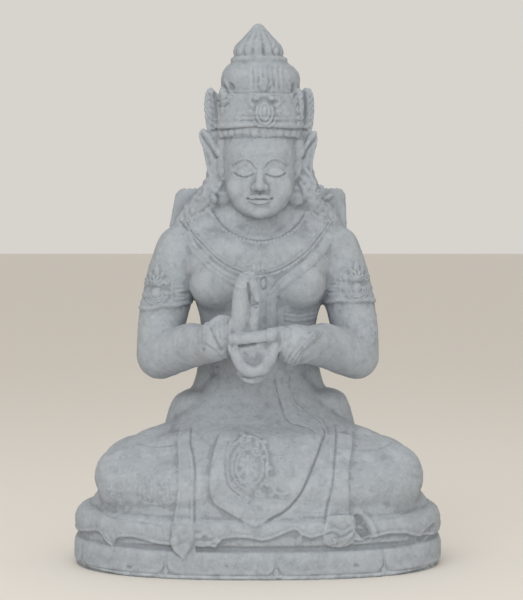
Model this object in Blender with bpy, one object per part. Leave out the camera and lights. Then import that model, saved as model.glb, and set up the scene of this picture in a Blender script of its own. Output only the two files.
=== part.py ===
"""Seated, crowned goddess on an oval lotus plinth, carved from one block of stone.

Metres, +Z up, the underside on z = 0, the figure facing -Y.
The figure is drawn on a grid of its own: it sits at 90 and the tip of its crown is at 800, so one grid unit is
1/710 of the figure's height, and every share of the body keeps its place when the height changes.
"""

import math

import bmesh
import bpy
import numpy as np
from mathutils import Matrix, Vector

# Driving sizes
figureHeight = 0.710     # seat to the tip of the crown
plinthWidth = 0.547      # across the lotus plinth, left to right
plinthDepth = 0.370      # front to back
plinthHeight = 0.090     # floor to the seat
plinthRoundness = 2.4    # power of the oval plan, where 2 is an ellipse
petalCount = 9           # lower ring of lotus petals
petalCrowd = 0.08        # how much closer they stand at the front
petalTurn = 0.168        # turns the ring, as a share of a petal
petalGap = 0.008         # width of the groove between two petals
tierGroove = 0.0055      # depth of the groove between the two rings of petals
reliefShare = 1.0        # height of the carved relief, as a share of the drawn one
cellSize = 0.0034        # finest step of the carved surface
facetCount = 9600        # triangles of the finished solid

unit = figureHeight / 710.0
seatLevel = 90.0


def place(x, y, z):
    """A point of the figure's grid, in metres."""
    return Vector((x * unit, y * unit, plinthHeight + (z - seatLevel) * unit))


# Rough forms

def addBall(bm, centre, radii, turn=(0.0, 0.0, 0.0), segments=28):
    """An ellipsoid on the grid, turned by degrees about x, y and z."""
    spin = Matrix.Identity(3)
    for axis, angle in zip("XYZ", turn):
        spin = Matrix.Rotation(math.radians(angle), 3, axis) @ spin
    middle = place(*centre)
    rings = []
    for j in range(1, segments // 2):
        low = math.pi * j / (segments // 2)
        ring = []
        for i in range(segments):
            angle = 2 * math.pi * i / segments
            way = (math.sin(low) * math.cos(angle), math.sin(low) * math.sin(angle), -math.cos(low))
            ring.append(middle + spin @ Vector([w * r * unit for w, r in zip(way, radii)]))
        rings.append(ring)
    addLoft(bm, rings, segments)


def addLimb(bm, joints, segments=24):
    """A limb through points (x, y, z, radius), round at both ends."""
    for x, y, z, radius in joints:
        addBall(bm, (x, y, z), (radius, radius, radius), segments=segments)
    for start, end in zip(joints[:-1], joints[1:]):
        low, high = place(*start[:3]), place(*end[:3])
        along = high - low
        where = Matrix.Translation((low + high) / 2) @ along.to_track_quat("Z", "Y").to_matrix().to_4x4()
        bmesh.ops.create_cone(bm, cap_ends=True, segments=segments, radius1=start[3] * unit,
                              radius2=end[3] * unit, depth=along.length, matrix=where)


def ringPoints(centre, halfX, halfY, power, count):
    """Points of a rounded oval outline, evenly stepped in angle."""
    points = []
    for i in range(count):
        angle = 2 * math.pi * i / count
        c, s = math.cos(angle), math.sin(angle)
        x = math.copysign(abs(c) ** (2 / power), c) * halfX
        y = math.copysign(abs(s) ** (2 / power), s) * halfY
        points.append(Vector((centre[0] + x, centre[1] + y, centre[2])))
    return points


def addLoft(bm, rings, count):
    """A closed body through rings of points, which run from the bottom up."""
    layers = [[bm.verts.new(p) for p in ring] for ring in rings]
    for low, high in zip(layers[:-1], layers[1:]):
        for i in range(count):
            j = (i + 1) % count
            bm.faces.new((low[i], low[j], high[j], high[i]))
    bm.faces.new(tuple(reversed(layers[0])))
    bm.faces.new(tuple(layers[-1]))


def addBody(bm, sections, power=2.2, count=48):
    """A body of the figure through sections (z, centre x, centre y, half width, half depth)."""
    rings = []
    for z, cx, cy, hx, hy in sections:
        rings.append(ringPoints(place(cx, cy, z), hx * unit, hy * unit, power, count))
    addLoft(bm, rings, count)


def addSlab(bm, outline, front, back):
    """A closed outline (x, z) on the grid, filled from its front to its back."""
    turn = sum(a[0] * b[1] - b[0] * a[1] for a, b in zip(outline, outline[1:] + outline[:1]))
    if turn > 0:
        outline = outline[::-1]
    addLoft(bm, [[place(x, y, z) for x, z in outline] for y in (front, back)], len(outline))


# The figure

def addTorso(bm):
    addBody(bm, [(170, 2, 40, 120, 84), (205, 2, 42, 124, 84), (235, 2, 38, 112, 76), (262, 1, 28, 98, 64),
                 (290, 1, 22, 91, 59), (330, 1, 16, 86, 57), (360, 1, 12, 87, 58), (390, 1, 10, 95, 62),
                 (420, 1, 10, 110, 66), (450, 2, 12, 122, 64), (474, 2, 16, 124, 56), (494, 2, 20, 104, 46),
                 (512, 2, 20, 64, 38)])
    addBody(bm, [(470, 2, 14, 56, 48), (500, 3, 12, 44, 40), (516, 3, 11, 40, 36), (548, 3, 8, 38, 34)])
    for side in (-1, 1):
        addLimb(bm, [(18 * side, 12, 516, 38), (60 * side, 18, 496, 36), (104 * side, 20, 466, 38)])
        addBall(bm, (57 * side, -25, 414), (45, 39, 41))
        addBall(bm, (40 * side, -10, 452), (56, 43, 40))
    addBall(bm, (1, -8, 292), (70, 54, 46))
    # the belly spreads out on to the lap
    addBody(bm, [(190, 2, -26, 156, 96), (206, 2, -22, 134, 80), (220, 2, -16, 114, 64), (236, 2, -12, 98, 54),
                 (254, 2, -9, 84, 50), (274, 1, -6, 72, 48)])


def addHips(bm):
    """The gathered cloth round the hips, a rounded step behind the lap, a little higher on the left."""
    addBody(bm, [(180, 3, 40, 148, 92), (208, 3, 40, 142, 90), (228, 3, 40, 136, 86), (242, 4, 40, 130, 82),
                 (250, 6, 40, 118, 76), (254, 8, 40, 100, 66)], power=2.8)


def addLegs(bm):
    """Crossed legs under the skirt, and the full curve of the lap from its hem up to the belly."""
    addBody(bm, [(66, 2, -9, 240, 166), (84, 2, -9, 241, 166), (104, 2, -9, 241, 162), (124, 2, -8, 235, 156),
                 (142, 2, -6, 222, 146), (158, 2, 0, 196, 128), (172, 2, 10, 150, 104)], power=2.3)
    addBody(bm, [(84, 2, -14, 214, 154), (118, 2, -14, 208, 153), (146, 2, -15, 194, 145),
                 (163, 2, -17, 180, 134), (178, 2, -20, 164, 121), (191, 2, -22, 146, 105),
                 (202, 2, -24, 126, 86), (210, 2, -26, 102, 64), (215, 2, -28, 70, 40)], power=2.6)
    for side, knee in ((-1, 45), (1, 49)):
        addLimb(bm, [(76 * side, 0, 165, 58), (146 * side, -52, 150, 54), (194 * side, -70, 134, knee)])
        addLimb(bm, [(190 * side, -82, 122, knee - 2), (112 * side, -120, 120, 44), (20 * side, -124, 120, 44)])
        addBall(bm, (168 * side, -20, 140), (66, 70, 50))
        addLimb(bm, [(100 * side, -84, 160, 42), (150 * side, -78, 148, 43), (178 * side, -74, 138, 42)])
        addLimb(bm, [(100 * side, -100, 150, 40), (150 * side, -92, 141, 40), (182 * side, -82, 131, 38)])
    # its hem spreads over the plinth
    addBody(bm, [(76, 2, -4, 252, 171), (92, 2, -4, 251, 169), (102, 2, -6, 243, 162), (112, 2, -8, 228, 152)],
            power=2.4)


def addArms(bm):
    for side in (-1, 1):
        addLimb(bm, [(114 * side, 18, 462, 40), (128 * side, 12, 424, 39), (138 * side, 4, 383, 37),
                     (145 * side, -4, 345, 35), (146 * side, -12, 306, 35)])
        addLimb(bm, [(146 * side, -12, 306, 35), (96 * side, -62, 325, 33), (58 * side, -122, 328, 24)])


def addHands(bm):
    """The right hand rises with its first finger bent over; the left lies across as a cup below it."""
    addLimb(bm, [(-62, -108, 334, 28), (-46, -122, 338, 25), (-34, -132, 342, 18), (-26, -144, 356, 14),
                 (-23.5, -150, 380, 13.2), (-22, -154, 404, 13.2), (-18, -156, 421, 11.5)], segments=16)
    addLimb(bm, [(-18, -155, 421, 11.5), (-10, -158, 423, 9.5), (-4.5, -161, 413, 6.8), (-2.5, -163, 402, 6),
                 (0, -164, 393, 4.6)], segments=12)
    addLimb(bm, [(-8, -144, 350, 10), (-5, -148, 372, 8), (-2, -153, 384, 6)], segments=12)
    addLimb(bm, [(62, -110, 328, 28), (48, -122, 329, 27), (36, -132, 334, 19),
                 (30, -138, 340, 15)], segments=16)
    addLimb(bm, [(34, -138, 342, 14), (18, -150, 342, 11), (0, -156, 340, 10), (-16, -158, 339, 9.6),
                 (-32, -154, 338, 9)], segments=12)
    addBall(bm, (-6, -144, 316), (30, 17, 31))
    addBall(bm, (-6, -147, 300), (19, 16, 17))
    addLimb(bm, [(-33, -149, 331, 8), (-30, -153, 316, 9), (-24, -156, 303, 9.5), (-15, -158, 295, 10),
                 (-5, -159, 293, 10), (7, -157, 296, 10), (15, -154, 308, 10), (20, -150, 320, 10),
                 (24, -145, 334, 10)], segments=12)
    addLimb(bm, [(-21, -148, 286, 5), (-8, -151, 280, 5.8), (7, -147, 286, 5)], segments=12)
    addBall(bm, (-50, -116, 341), (24, 23, 29), turn=(0, 0, -40))
    addBall(bm, (50, -116, 328), (22, 22, 30), turn=(0, 0, 40))


def addHead(bm):
    """Full cheeks and a small round chin, by sections from the chin up."""
    addBody(bm, [(511.5, 3, -38, 11, 11), (514, 3, -37, 20, 20), (519, 3, -33, 29, 28),
                 (526, 3, -29, 36.5, 34), (535, 3, -24, 42.5, 40), (547, 3, -19, 48, 45.5),
                 (560, 3, -14, 51.5, 51), (577, 3, -9, 53.5, 56), (595, 3, -6, 55, 60.5),
                 (612, 3, -3, 56, 63), (630, 3, 0, 56, 63), (650, 3, 4, 52, 60)], power=2.15)
    addBall(bm, (3, 10, 600), (57, 62, 62))
    for side in (-1, 1):
        addBall(bm, (3 + 27 * side, -39, 555), (22, 19, 22))
    addBall(bm, (3, -55, 519), (14, 10, 9))
    addBall(bm, (3, -52, 540), (20, 15, 16))
    # hair at the temples and behind the jaw
    for x in (-48, 55):
        addLimb(bm, [(x, -14, 624, 14), (x, -14, 600, 13), (x, -12, 578, 12)])
    addBall(bm, (-50, -3, 546), (17, 17, 20))
    addBall(bm, (56, -3, 546), (17, 17, 20))


def addFace(bm):
    addLimb(bm, [(3, -60, 598, 6), (3, -66, 580, 6.5), (3, -73, 566, 7), (3, -77, 558, 8)], segments=12)
    for side in (-1, 1):
        addBall(bm, (3 + 9 * side, -68, 556), (7, 9, 6.5))
        addBall(bm, (3 + 7 * side, -65, 541.5), (12, 7, 4.6), turn=(0, 10 * side, 16 * side))
    addBall(bm, (3, -64.5, 532.4), (15, 7.5, 5.4))


def addSideLeaves(bm):
    """The crown's leaf wings, and the ears below them, pointed leaves too."""
    wings = ([(-70, 706), (-75, 702), (-78, 692), (-79, 674), (-77, 655), (-75, 640), (-66, 624), (-54, 610),
              (-50, 640), (-54, 690), (-64, 700)],
             [(70, 705), (79, 703), (83, 692), (84, 672), (82, 652), (80, 638), (70, 624), (56, 610), (54, 640),
              (58, 690)])
    for outline in wings:
        addSlab(bm, outline, -14, 24)
    ears = ([(-87, 638), (-82, 643), (-75, 637), (-62, 616), (-54, 590), (-56, 560), (-72, 560), (-75, 583),
             (-78, 598), (-82, 616), (-87, 630)],
            [(89, 630), (86, 639), (79, 636), (66, 614), (58, 590), (60, 560), (78, 560), (81, 583), (82, 598),
             (85, 613), (88, 624)])
    for outline in ears:
        addSlab(bm, outline, -16, 20)
    addBall(bm, (92, -2, 550), (9, 8, 11))
    addLimb(bm, [(90, -2, 546, 5.5), (100, 4, 540, 5.5), (111, 12, 545, 4.5)], segments=12)


def addHair(bm):
    """Hair drawn back under the crown, and locks behind the ears that run down on to the shoulders."""
    addBody(bm, [(500, 3, 46, 110, 38), (530, 3, 46, 104, 38), (552, 3, 42, 95, 38), (568, 3, 36, 84, 42),
                 (585, 3, 28, 78, 48), (612, 3, 22, 77, 54), (650, 3, 14, 70, 58)])
    addLimb(bm, [(-62, 4, 634, 14), (-60, 2, 600, 14), (-58, 0, 576, 15.5), (-62, -2, 560, 18),
                 (-72, 2, 543, 19), (-90, 14, 522, 20), (-104, 22, 500, 22)])
    addLimb(bm, [(66, 4, 634, 14), (65, 2, 600, 14), (66, 0, 582, 16), (71, -2, 564, 18), (76, -2, 548, 18),
                 (90, 14, 526, 20), (103, 22, 502, 22)])


def addPanel(bm):
    """The flat panel behind the shoulders, which narrows down the back and widens again at the hips."""
    outline = [(200, 118, 118), (240, 100, 100), (300, 84, 84), (360, 84, 84), (420, 104, 104), (470, 134, 136),
               (500, 134, 135), (530, 129, 134), (548, 125, 133), (556, 117, 127)]
    rings = []
    for z, left, right in outline:
        middle = (right - left) / 2
        rings.append(ringPoints(place(middle, 64, z), (left + right) / 2 * unit, 26 * unit, 7, 48))
    addLoft(bm, rings, 48)


def addCrown(bm):
    """The crown, by rings (height, shift to the side, radius) round its own axis."""
    profile = [(626.5, 1, 58), (628.5, 1, 63), (631, 1, 64.5), (639, 1, 65.5), (641, 1, 68), (645, 1, 70.5),
               (651, 1, 69), (660, 1, 67.5), (684, 0, 64), (688, 0, 65.5), (692, 0, 64), (696, 1, 59),
               (708, 2, 58.5), (718, 2, 59.5), (727, 2, 57.5), (735, 1, 51), (741, 0, 42.5), (744, 0, 43),
               (748, 0, 42), (752, -1, 37), (758, -1, 38), (767, -1, 35.5), (774, -1, 29), (782, -1, 21),
               (790, -1, 13.5), (796, -1, 9.5), (801.4, -1, 6)]
    rings = [ringPoints(place(2 + shift, -2, z), r * unit, r * unit * 0.97, 2, 64) for z, shift, r in profile]
    addLoft(bm, rings, 64)
    addBall(bm, (9, -64, 665), (13, 8, 18))
    addBall(bm, (8, -56, 704), (9, 6, 15))


# The plinth

def plinthRing(inset, z):
    """The oval plan of the plinth, brought in by inset, at height z."""
    return ringPoints((0, 0, z), plinthWidth / 2 - inset, plinthDepth / 2 - inset, plinthRoundness, 160)


def addPlinth(bm):
    """The two rings of petals as one turned body, and the two sash ends that hang in front of the groove."""
    share = plinthHeight / 0.090
    profile = [(0.0, 0.003), (0.003, 0.0), (0.030, 0.0), (0.0365, 0.0012), (0.0395, tierGroove),
               (0.046, tierGroove), (0.050, 0.003), (0.058, 0.001), (0.070, 0.001), (0.079, 0.004),
               (0.085, 0.011), (0.089, 0.022), (0.090, 0.040)]
    addLoft(bm, [plinthRing(inset, z * share) for z, inset in profile], 160)
    front = -0.476 * plinthDepth / unit
    addSlab(bm, [(-121, 75), (-121, 50), (-117, 42), (-105, 28), (-94, 42), (-90, 52),
                 (-90, 75)], front, front + 40)
    addSlab(bm, [(96, 88), (93, 70), (97, 56), (106, 48), (118, 48), (128, 55), (137, 66), (138, 80),
                 (132, 90)], front + 3, front + 40)


# Fusing and carving

def newObject(name, bm):
    mesh = bpy.data.meshes.new(name)
    bm.to_mesh(mesh)
    bm.free()
    obj = bpy.data.objects.new(name, mesh)
    bpy.context.scene.collection.objects.link(obj)
    return obj


def applyModifiers(obj):
    """Replaces the object's mesh by the one that its modifiers make."""
    graph = bpy.context.evaluated_depsgraph_get()
    made = bpy.data.meshes.new_from_object(obj.evaluated_get(graph))
    old = obj.data
    obj.modifiers.clear()
    obj.data = made
    bpy.data.meshes.remove(old)


def fuse(obj, cell, rounds):
    """Makes one skin around all the forms, and softens it where they meet."""
    remesh = obj.modifiers.new("fuse", "REMESH")
    remesh.mode = "VOXEL"
    remesh.voxel_size = cell
    if rounds:
        soften = obj.modifiers.new("soften", "SMOOTH")
        soften.factor = 0.5
        soften.iterations = rounds
    applyModifiers(obj)


def keepLargest(obj):
    """Drops every loose shell but the largest."""
    bm = bmesh.new()
    bm.from_mesh(obj.data)
    bm.verts.ensure_lookup_table()
    seen, shells = set(), []
    for vert in bm.verts:
        if vert.index in seen:
            continue
        shell, stack = [], [vert]
        seen.add(vert.index)
        while stack:
            here = stack.pop()
            shell.append(here)
            for edge in here.link_edges:
                other = edge.other_vert(here)
                if other.index not in seen:
                    seen.add(other.index)
                    stack.append(other)
        shells.append(shell)
    shells.sort(key=len)
    for shell in shells[:-1]:
        bmesh.ops.delete(bm, geom=shell, context="VERTS")
    bm.to_mesh(obj.data)
    bm.free()


def ease(value, low, high):
    """0 below low, 1 above high, and a smooth step between."""
    t = np.clip((value - low) / (high - low), 0.0, 1.0)
    return t * t * (3 - 2 * t)


def bandAt(distance, half, edge):
    """1 within half of the line, falling to 0 over the edge."""
    return 1.0 - ease(np.abs(distance), half, half + edge)


def lineDistance(x, z, points):
    """Distance from each place (x, z) to a run of straight pieces, and how far along it is, 0 to 1."""
    best = np.full(x.shape, 1e9)
    along = np.zeros(x.shape)
    lengths = [math.dist(a, b) for a, b in zip(points[:-1], points[1:])]
    total, done = sum(lengths), 0.0
    for (a, b), length in zip(zip(points[:-1], points[1:]), lengths):
        dx, dz = b[0] - a[0], b[1] - a[1]
        t = np.clip(((x - a[0]) * dx + (z - a[1]) * dz) / length ** 2, 0.0, 1.0)
        far = np.hypot(x - a[0] - t * dx, z - a[1] - t * dz)
        near = far < best
        best = np.where(near, far, best)
        along = np.where(near, (done + t * length) / total, along)
        done += length
    return best, along


def insideOutline(x, z, points):
    """Signed distance to a closed outline, above 0 inside it."""
    inside = np.zeros(x.shape, bool)
    for a, b in zip(points, points[1:] + points[:1]):
        crosses = (a[1] > z) != (b[1] > z)
        rise = b[1] - a[1] if b[1] != a[1] else 1e-9
        inside ^= crosses & (x < (b[0] - a[0]) * (z - a[1]) / rise + a[0])
    distance, _ = lineDistance(x, z, points + points[:1])
    return np.where(inside, distance, -distance)


def collarRelief(x, y, z, front):
    """A broad necklace with a raised edge, and the hems of the bodice that follow it down to the middle."""
    inner = z - (476 + 0.0085 * (x - 2) ** 2)
    outer = z - (423 + 0.0065 * (x - 2) ** 2)
    chest = front * ease(z, 405, 415) * (1 - ease(z, 516, 526)) * (1 - ease(np.abs(x), 104, 114))
    plate = ease(outer, -2, 2) * (1 - ease(inner, -2, 3))
    height = chest * (2.2 * plate + 1.6 * bandAt(outer - 2, 3, 3) + 1.2 * bandAt(inner + 4, 3, 3))
    hem, _ = lineDistance(x, z, [(104, 482), (86, 454), (50, 426), (26, 402), (20, 345)])
    twin, _ = lineDistance(x, z, [(-104, 484), (-82, 453), (-52, 429), (-20, 414)])
    return height + front * ease(z, 335, 345) * 1.6 * bandAt(np.minimum(hem, twin), 6, 3)


def clothRelief(x, y, z, front):
    """The oval apron, the cloth that becomes its edge, and two sashes that hang over the plinth."""
    apron = [(-52, 206), (-66, 160), (-68, 136), (-60, 105), (-45, 96), (-15, 79), (-4, 75), (8, 80), (34, 95),
             (47, 106), (60, 122), (81, 166), (92, 204), (40, 224)]
    low = front * ease(z, 26, 30)
    rim = insideOutline(x, z, apron)
    pillow = 3.4 + 2.0 * ease(rim, 0, 10) * (1 - ease(rim, 14, 46))
    height = low * ease(rim, -2, 2) * (1 - ease(z, 192, 214)) * pillow
    left, _ = lineDistance(x, z, [(-106, 214), (-103, 160), (-102, 110), (-106, 60), (-105, 44)])
    right, _ = lineDistance(x, z, [(126, 214), (124, 176), (118, 130), (114, 96), (115, 62)])
    half = 9 + 5 * (1 - ease(z, 60, 150))
    fade = 1 - ease(z, 200, 216)
    height = np.maximum(height, 3.4 * low * bandAt(left, half, 2.5) * fade)
    height = np.maximum(height, 3.4 * low * bandAt(right, half, 2.5) * fade)
    cloth, _ = lineDistance(x, z, [(35, 278), (40, 252), (49, 232), (66, 219), (92, 200)])
    return np.maximum(height, 2.4 * low * bandAt(cloth, 8, 3))


def foldRelief(x, y, z, front):
    """Broad shallow folds of the skirt over knees and shins."""
    lap = front * ease(z, 76, 92) * (1 - ease(z, 176, 200)) * ease(np.abs(x - 2), 128, 150)
    return lap * 0.8 * np.cos((z + 0.0004 * x ** 2) * 2 * math.pi / 17)


def faceRelief(x, y, z):
    """Eye hollows under arched brows, closed lids in them, and the line between the lips."""
    near = ease(-y, 28, 40) * ease(z, 512, 518) * (1 - ease(z, 606, 614))
    height = np.zeros_like(x)
    for side in (-1, 1):
        across = (x - 3) * side - 22.5
        hollow = np.exp(-(across / 15) ** 2 - ((z - 579) / 10) ** 2)
        lid = 1 - ease(np.hypot(across / 14, (z - 576 - 0.08 * across) / 8), 0.72, 1.05)
        arch = 594 - 0.012 * (across + 2) ** 2
        brow = bandAt(z - arch, 3.5, 4) * (1 - ease(np.abs(across), 18, 26))
        height += -4.5 * hollow + 4.5 * lid + 1.8 * brow
    mouth = np.abs(x - 3) < 19
    return near * (height - 2.2 * mouth * np.exp(-((z - 537 + 0.004 * (x - 3) ** 2) / 1.8) ** 2))


def armRelief(x, y, z):
    """An armband round each upper arm, with a leaf that stands up on its front."""
    arm = ease(np.abs(x), 96, 104) * ease(z, 340, 350) * (1 - ease(z, 440, 450))
    up = z - np.where(x < 0, 378 - 0.11 * (-x - 140), 386)
    height = 2.6 * ease(up, -1.5, 1.5) * (1 - 0.7 * ease(up, 4, 12)) * (1 - ease(up, 24, 30))
    leaf = np.abs(np.abs(x) - 148) / 16 + np.abs(z - 412) / 30
    return arm * np.maximum(height, 2.8 * (1 - ease(leaf, 0.6, 1.0)) * (y < 12))


def crownRelief(x, y, z):
    """Flutes on the dome and the bud of the crown, and pleats along its fringe."""
    angle = np.arctan2(x - 2, -(y + 2))
    near = np.hypot(x - 2, y + 2) < 76
    dome = near * ease(z, 697, 703) * (1 - ease(z, 733, 740))
    bud = near * ease(z, 752, 757) * (1 - ease(z, 782, 792))
    fringe = near * ease(z, 625, 629) * (1 - ease(z, 637, 640))
    height = 1.4 * dome * (np.abs(np.cos(angle * 8)) - 0.6)
    height += 1.8 * bud * (np.abs(np.cos(angle * 7 + 0.35)) - 0.7)
    return height + 1.2 * fringe * (np.abs(np.sin(angle * 15)) - 0.6)


def alongPlan(x, y):
    """Length round the oval plan, 0 at the front middle and growing to +X, and the whole length."""
    ring = ringPoints((0, 0, 0), plinthWidth / 2, plinthDepth / 2, plinthRoundness, 720)
    ring = [ring[(i + 180) % 720] for i in range(721)]
    steps = [math.hypot(b.x - a.x, b.y - a.y) for a, b in zip(ring[:-1], ring[1:])]
    lengths = np.concatenate([[0], np.cumsum(steps)])
    polar = np.unwrap([math.atan2(-p.x / plinthWidth, p.y / plinthDepth) for p in ring])
    polar -= polar[360]
    here = np.arctan2(x / plinthWidth, -y / plinthDepth)
    return np.interp(here, polar, lengths) - lengths[360], lengths[-1]


def petalRelief(x, y, z):
    """Grooves between the lotus petals of the plinth, in metres about its own plan."""
    share = plinthHeight / 0.090
    s, total = alongPlan(x, y)
    step = total / petalCount
    turns = petalCount * s / total + petalCrowd * np.sin(2 * math.pi * s / total) - petalTurn
    edge = np.minimum(turns % 1.0, 1 - turns % 1.0) * step
    low = ease(z, 0.004 * share, 0.008 * share) * (1 - ease(z, 0.030 * share, 0.037 * share))
    height = -0.0035 * low * (1 - ease(edge, petalGap / 4, petalGap))
    # the upper petals droop over the groove, each with a curved lower edge
    droop = (0.056 - 0.008 * np.abs(np.cos(math.pi * (turns * 1.3 + 0.2))) ** 6) * share
    under = (1 - ease(z - droop, -0.002 * share, 0.002 * share)) * ease(z, 0.040 * share, 0.043 * share)
    ends = bandAt(s / unit + 106, 16, 2) + bandAt(s / unit - 117, 22, 2)
    return height - 0.0025 * under * (1 - np.clip(ends, 0, 1))


def carve(obj):
    """Moves the points of the fused body along their normals to leave the carved relief."""
    mesh = obj.data
    count = len(mesh.vertices)
    points = np.empty(count * 3)
    mesh.vertices.foreach_get("co", points)
    points = points.reshape(-1, 3)
    normals = np.empty(count * 3)
    mesh.vertices.foreach_get("normal", normals)
    normals = normals.reshape(-1, 3)
    x, y = points[:, 0] / unit, points[:, 1] / unit
    z = (points[:, 2] - plinthHeight) / unit + seatLevel
    front = ease(-normals[:, 1], 0.05, 0.35) * (y < 10)
    height = collarRelief(x, y, z, front) + clothRelief(x, y, z, front) + foldRelief(x, y, z, front)
    height += faceRelief(x, y, z) + armRelief(x, y, z) + crownRelief(x, y, z)
    move = height * unit * reliefShare
    move += petalRelief(points[:, 0], points[:, 1], points[:, 2]) * reliefShare
    points = points + normals * move[:, None]
    mesh.vertices.foreach_set("co", points.ravel())
    mesh.update()


def cutFlat(obj):
    """Cuts the underside flat at z = 0 and closes it."""
    bm = bmesh.new()
    bm.from_mesh(obj.data)
    everything = bm.verts[:] + bm.edges[:] + bm.faces[:]
    cut = bmesh.ops.bisect_plane(bm, geom=everything, dist=1e-5, plane_co=(0, 0, 0.0006), plane_no=(0, 0, -1),
                                 clear_outer=True)
    edges = [g for g in cut["geom_cut"] if isinstance(g, bmesh.types.BMEdge)]
    bmesh.ops.holes_fill(bm, edges=edges, sides=0)
    bmesh.ops.translate(bm, verts=bm.verts[:], vec=(0, 0, -0.0006))
    bmesh.ops.triangulate(bm, faces=bm.faces[:])
    bmesh.ops.recalc_face_normals(bm, faces=bm.faces[:])
    bm.to_mesh(obj.data)
    bm.free()


def reduceFacets(obj, target):
    now = len(obj.data.polygons)
    if now > target:
        fewer = obj.modifiers.new("fewer", "DECIMATE")
        fewer.ratio = target / now
        fewer.use_collapse_triangulate = True
        applyModifiers(obj)


def stoneMaterial():
    stone = bpy.data.materials.new("stone")
    stone.use_nodes = True
    shader = stone.node_tree.nodes["Principled BSDF"]
    shader.inputs["Base Color"].default_value = (0.36, 0.37, 0.37, 1.0)
    shader.inputs["Roughness"].default_value = 0.9
    return stone


def main():
    for old in list(bpy.data.objects):
        bpy.data.objects.remove(old)
    soft = bmesh.new()
    for add in (addTorso, addHips, addLegs, addArms, addHead, addHair):
        add(soft)
    body = newObject("statue", soft)
    fuse(body, cellSize, 9)
    sharp = bmesh.new()
    for add in (addHands, addFace, addSideLeaves, addPanel, addCrown, addPlinth):
        add(sharp)
    sharp.from_mesh(body.data)
    sharp.to_mesh(body.data)
    sharp.free()
    fuse(body, cellSize, 1)
    keepLargest(body)
    carve(body)
    cutFlat(body)
    reduceFacets(body, facetCount)
    body.data.materials.clear()
    body.data.materials.append(stoneMaterial())


main()
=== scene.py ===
# A seated, crowned goddess on an oval lotus plinth, carved in one piece of grey stone.
# The CAD solid gives the size; this script carves the same form again with its fine relief.
import math
from types import SimpleNamespace

import bmesh
import bpy
import numpy as np
from mathutils import Matrix, Vector


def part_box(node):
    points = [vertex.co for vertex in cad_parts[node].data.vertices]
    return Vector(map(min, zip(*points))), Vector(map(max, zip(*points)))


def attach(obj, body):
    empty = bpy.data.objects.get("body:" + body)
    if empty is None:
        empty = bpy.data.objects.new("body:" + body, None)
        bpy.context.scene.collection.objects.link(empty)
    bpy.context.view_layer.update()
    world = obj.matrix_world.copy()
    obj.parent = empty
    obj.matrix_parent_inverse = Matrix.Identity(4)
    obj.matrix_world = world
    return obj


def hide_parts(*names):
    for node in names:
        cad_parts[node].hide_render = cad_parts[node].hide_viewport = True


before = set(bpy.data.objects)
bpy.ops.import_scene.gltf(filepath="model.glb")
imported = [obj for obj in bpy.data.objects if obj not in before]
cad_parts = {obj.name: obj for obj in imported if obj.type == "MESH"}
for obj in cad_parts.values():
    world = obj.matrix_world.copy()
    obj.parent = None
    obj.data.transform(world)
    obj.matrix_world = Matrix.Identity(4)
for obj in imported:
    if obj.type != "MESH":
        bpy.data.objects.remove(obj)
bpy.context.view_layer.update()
cadLow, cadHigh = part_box("statue")

# the figure is drawn on a grid of its own, with the seat and the tip of the crown at these heights
seatLevel, crownLevel = 90.0, 800.0
plinthShare = 0.09 / 0.80  # the plinth's share of the whole height
plinthHeight = cadHigh[2] * plinthShare
unit = (cadHigh[2] - plinthHeight) / (crownLevel - seatLevel)
plinthHalf = ((cadHigh[0] - cadLow[0]) / 2, (cadHigh[1] - cadLow[1]) / 2)
plinthRound = 2.4  # its plan: 2 is an oval, more is squarer

carving = {
    "roughCell": 0.0030,  # step of the rough body, which is rubbed smooth
    "roughRounds": 16,
    "fineCell": 0.0015,  # step of the finished skin
    "faces": 196000,
    "relief": 1.0,  # height of the carved relief against the drawn one
    "chisel": 0.35,  # uneven surface left by the tools, in grid units
}


def place(x, y, z):
    return Vector((x * unit, y * unit, plinthHeight + (z - seatLevel) * unit))


# Rough forms, each a closed shape of its own


def join(bm, form):
    # adds the small bmesh to the big one and frees it
    mesh = bpy.data.meshes.new("form")
    form.to_mesh(mesh)
    form.free()
    bm.from_mesh(mesh)
    bpy.data.meshes.remove(mesh)


def ball(bm, centre, radii, turn=(0, 0, 0), segments=32):
    spin = Matrix.Identity(4)
    for axis, angle in zip("XYZ", turn):
        spin = Matrix.Rotation(math.radians(angle), 4, axis) @ spin
    size = Matrix.Diagonal([r * unit for r in radii] + [1.0])
    form = bmesh.new()
    bmesh.ops.create_uvsphere(form, u_segments=segments, v_segments=segments // 2, radius=1.0,
                              matrix=Matrix.Translation(place(*centre)) @ spin @ size)
    join(bm, form)


def limb(bm, joints, segments=24):
    # round at every joint (x, y, z, radius), tapering between them
    for x, y, z, radius in joints:
        ball(bm, (x, y, z), (radius,) * 3, segments=segments)
    for start, end in zip(joints[:-1], joints[1:]):
        low, high = place(*start[:3]), place(*end[:3])
        along = high - low
        form = bmesh.new()
        where = Matrix.Translation((low + high) / 2) @ along.to_track_quat("Z", "Y").to_matrix().to_4x4()
        bmesh.ops.create_cone(form, cap_ends=True, segments=segments, radius1=start[3] * unit,
                              radius2=end[3] * unit, depth=along.length, matrix=where)
        join(bm, form)


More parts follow.
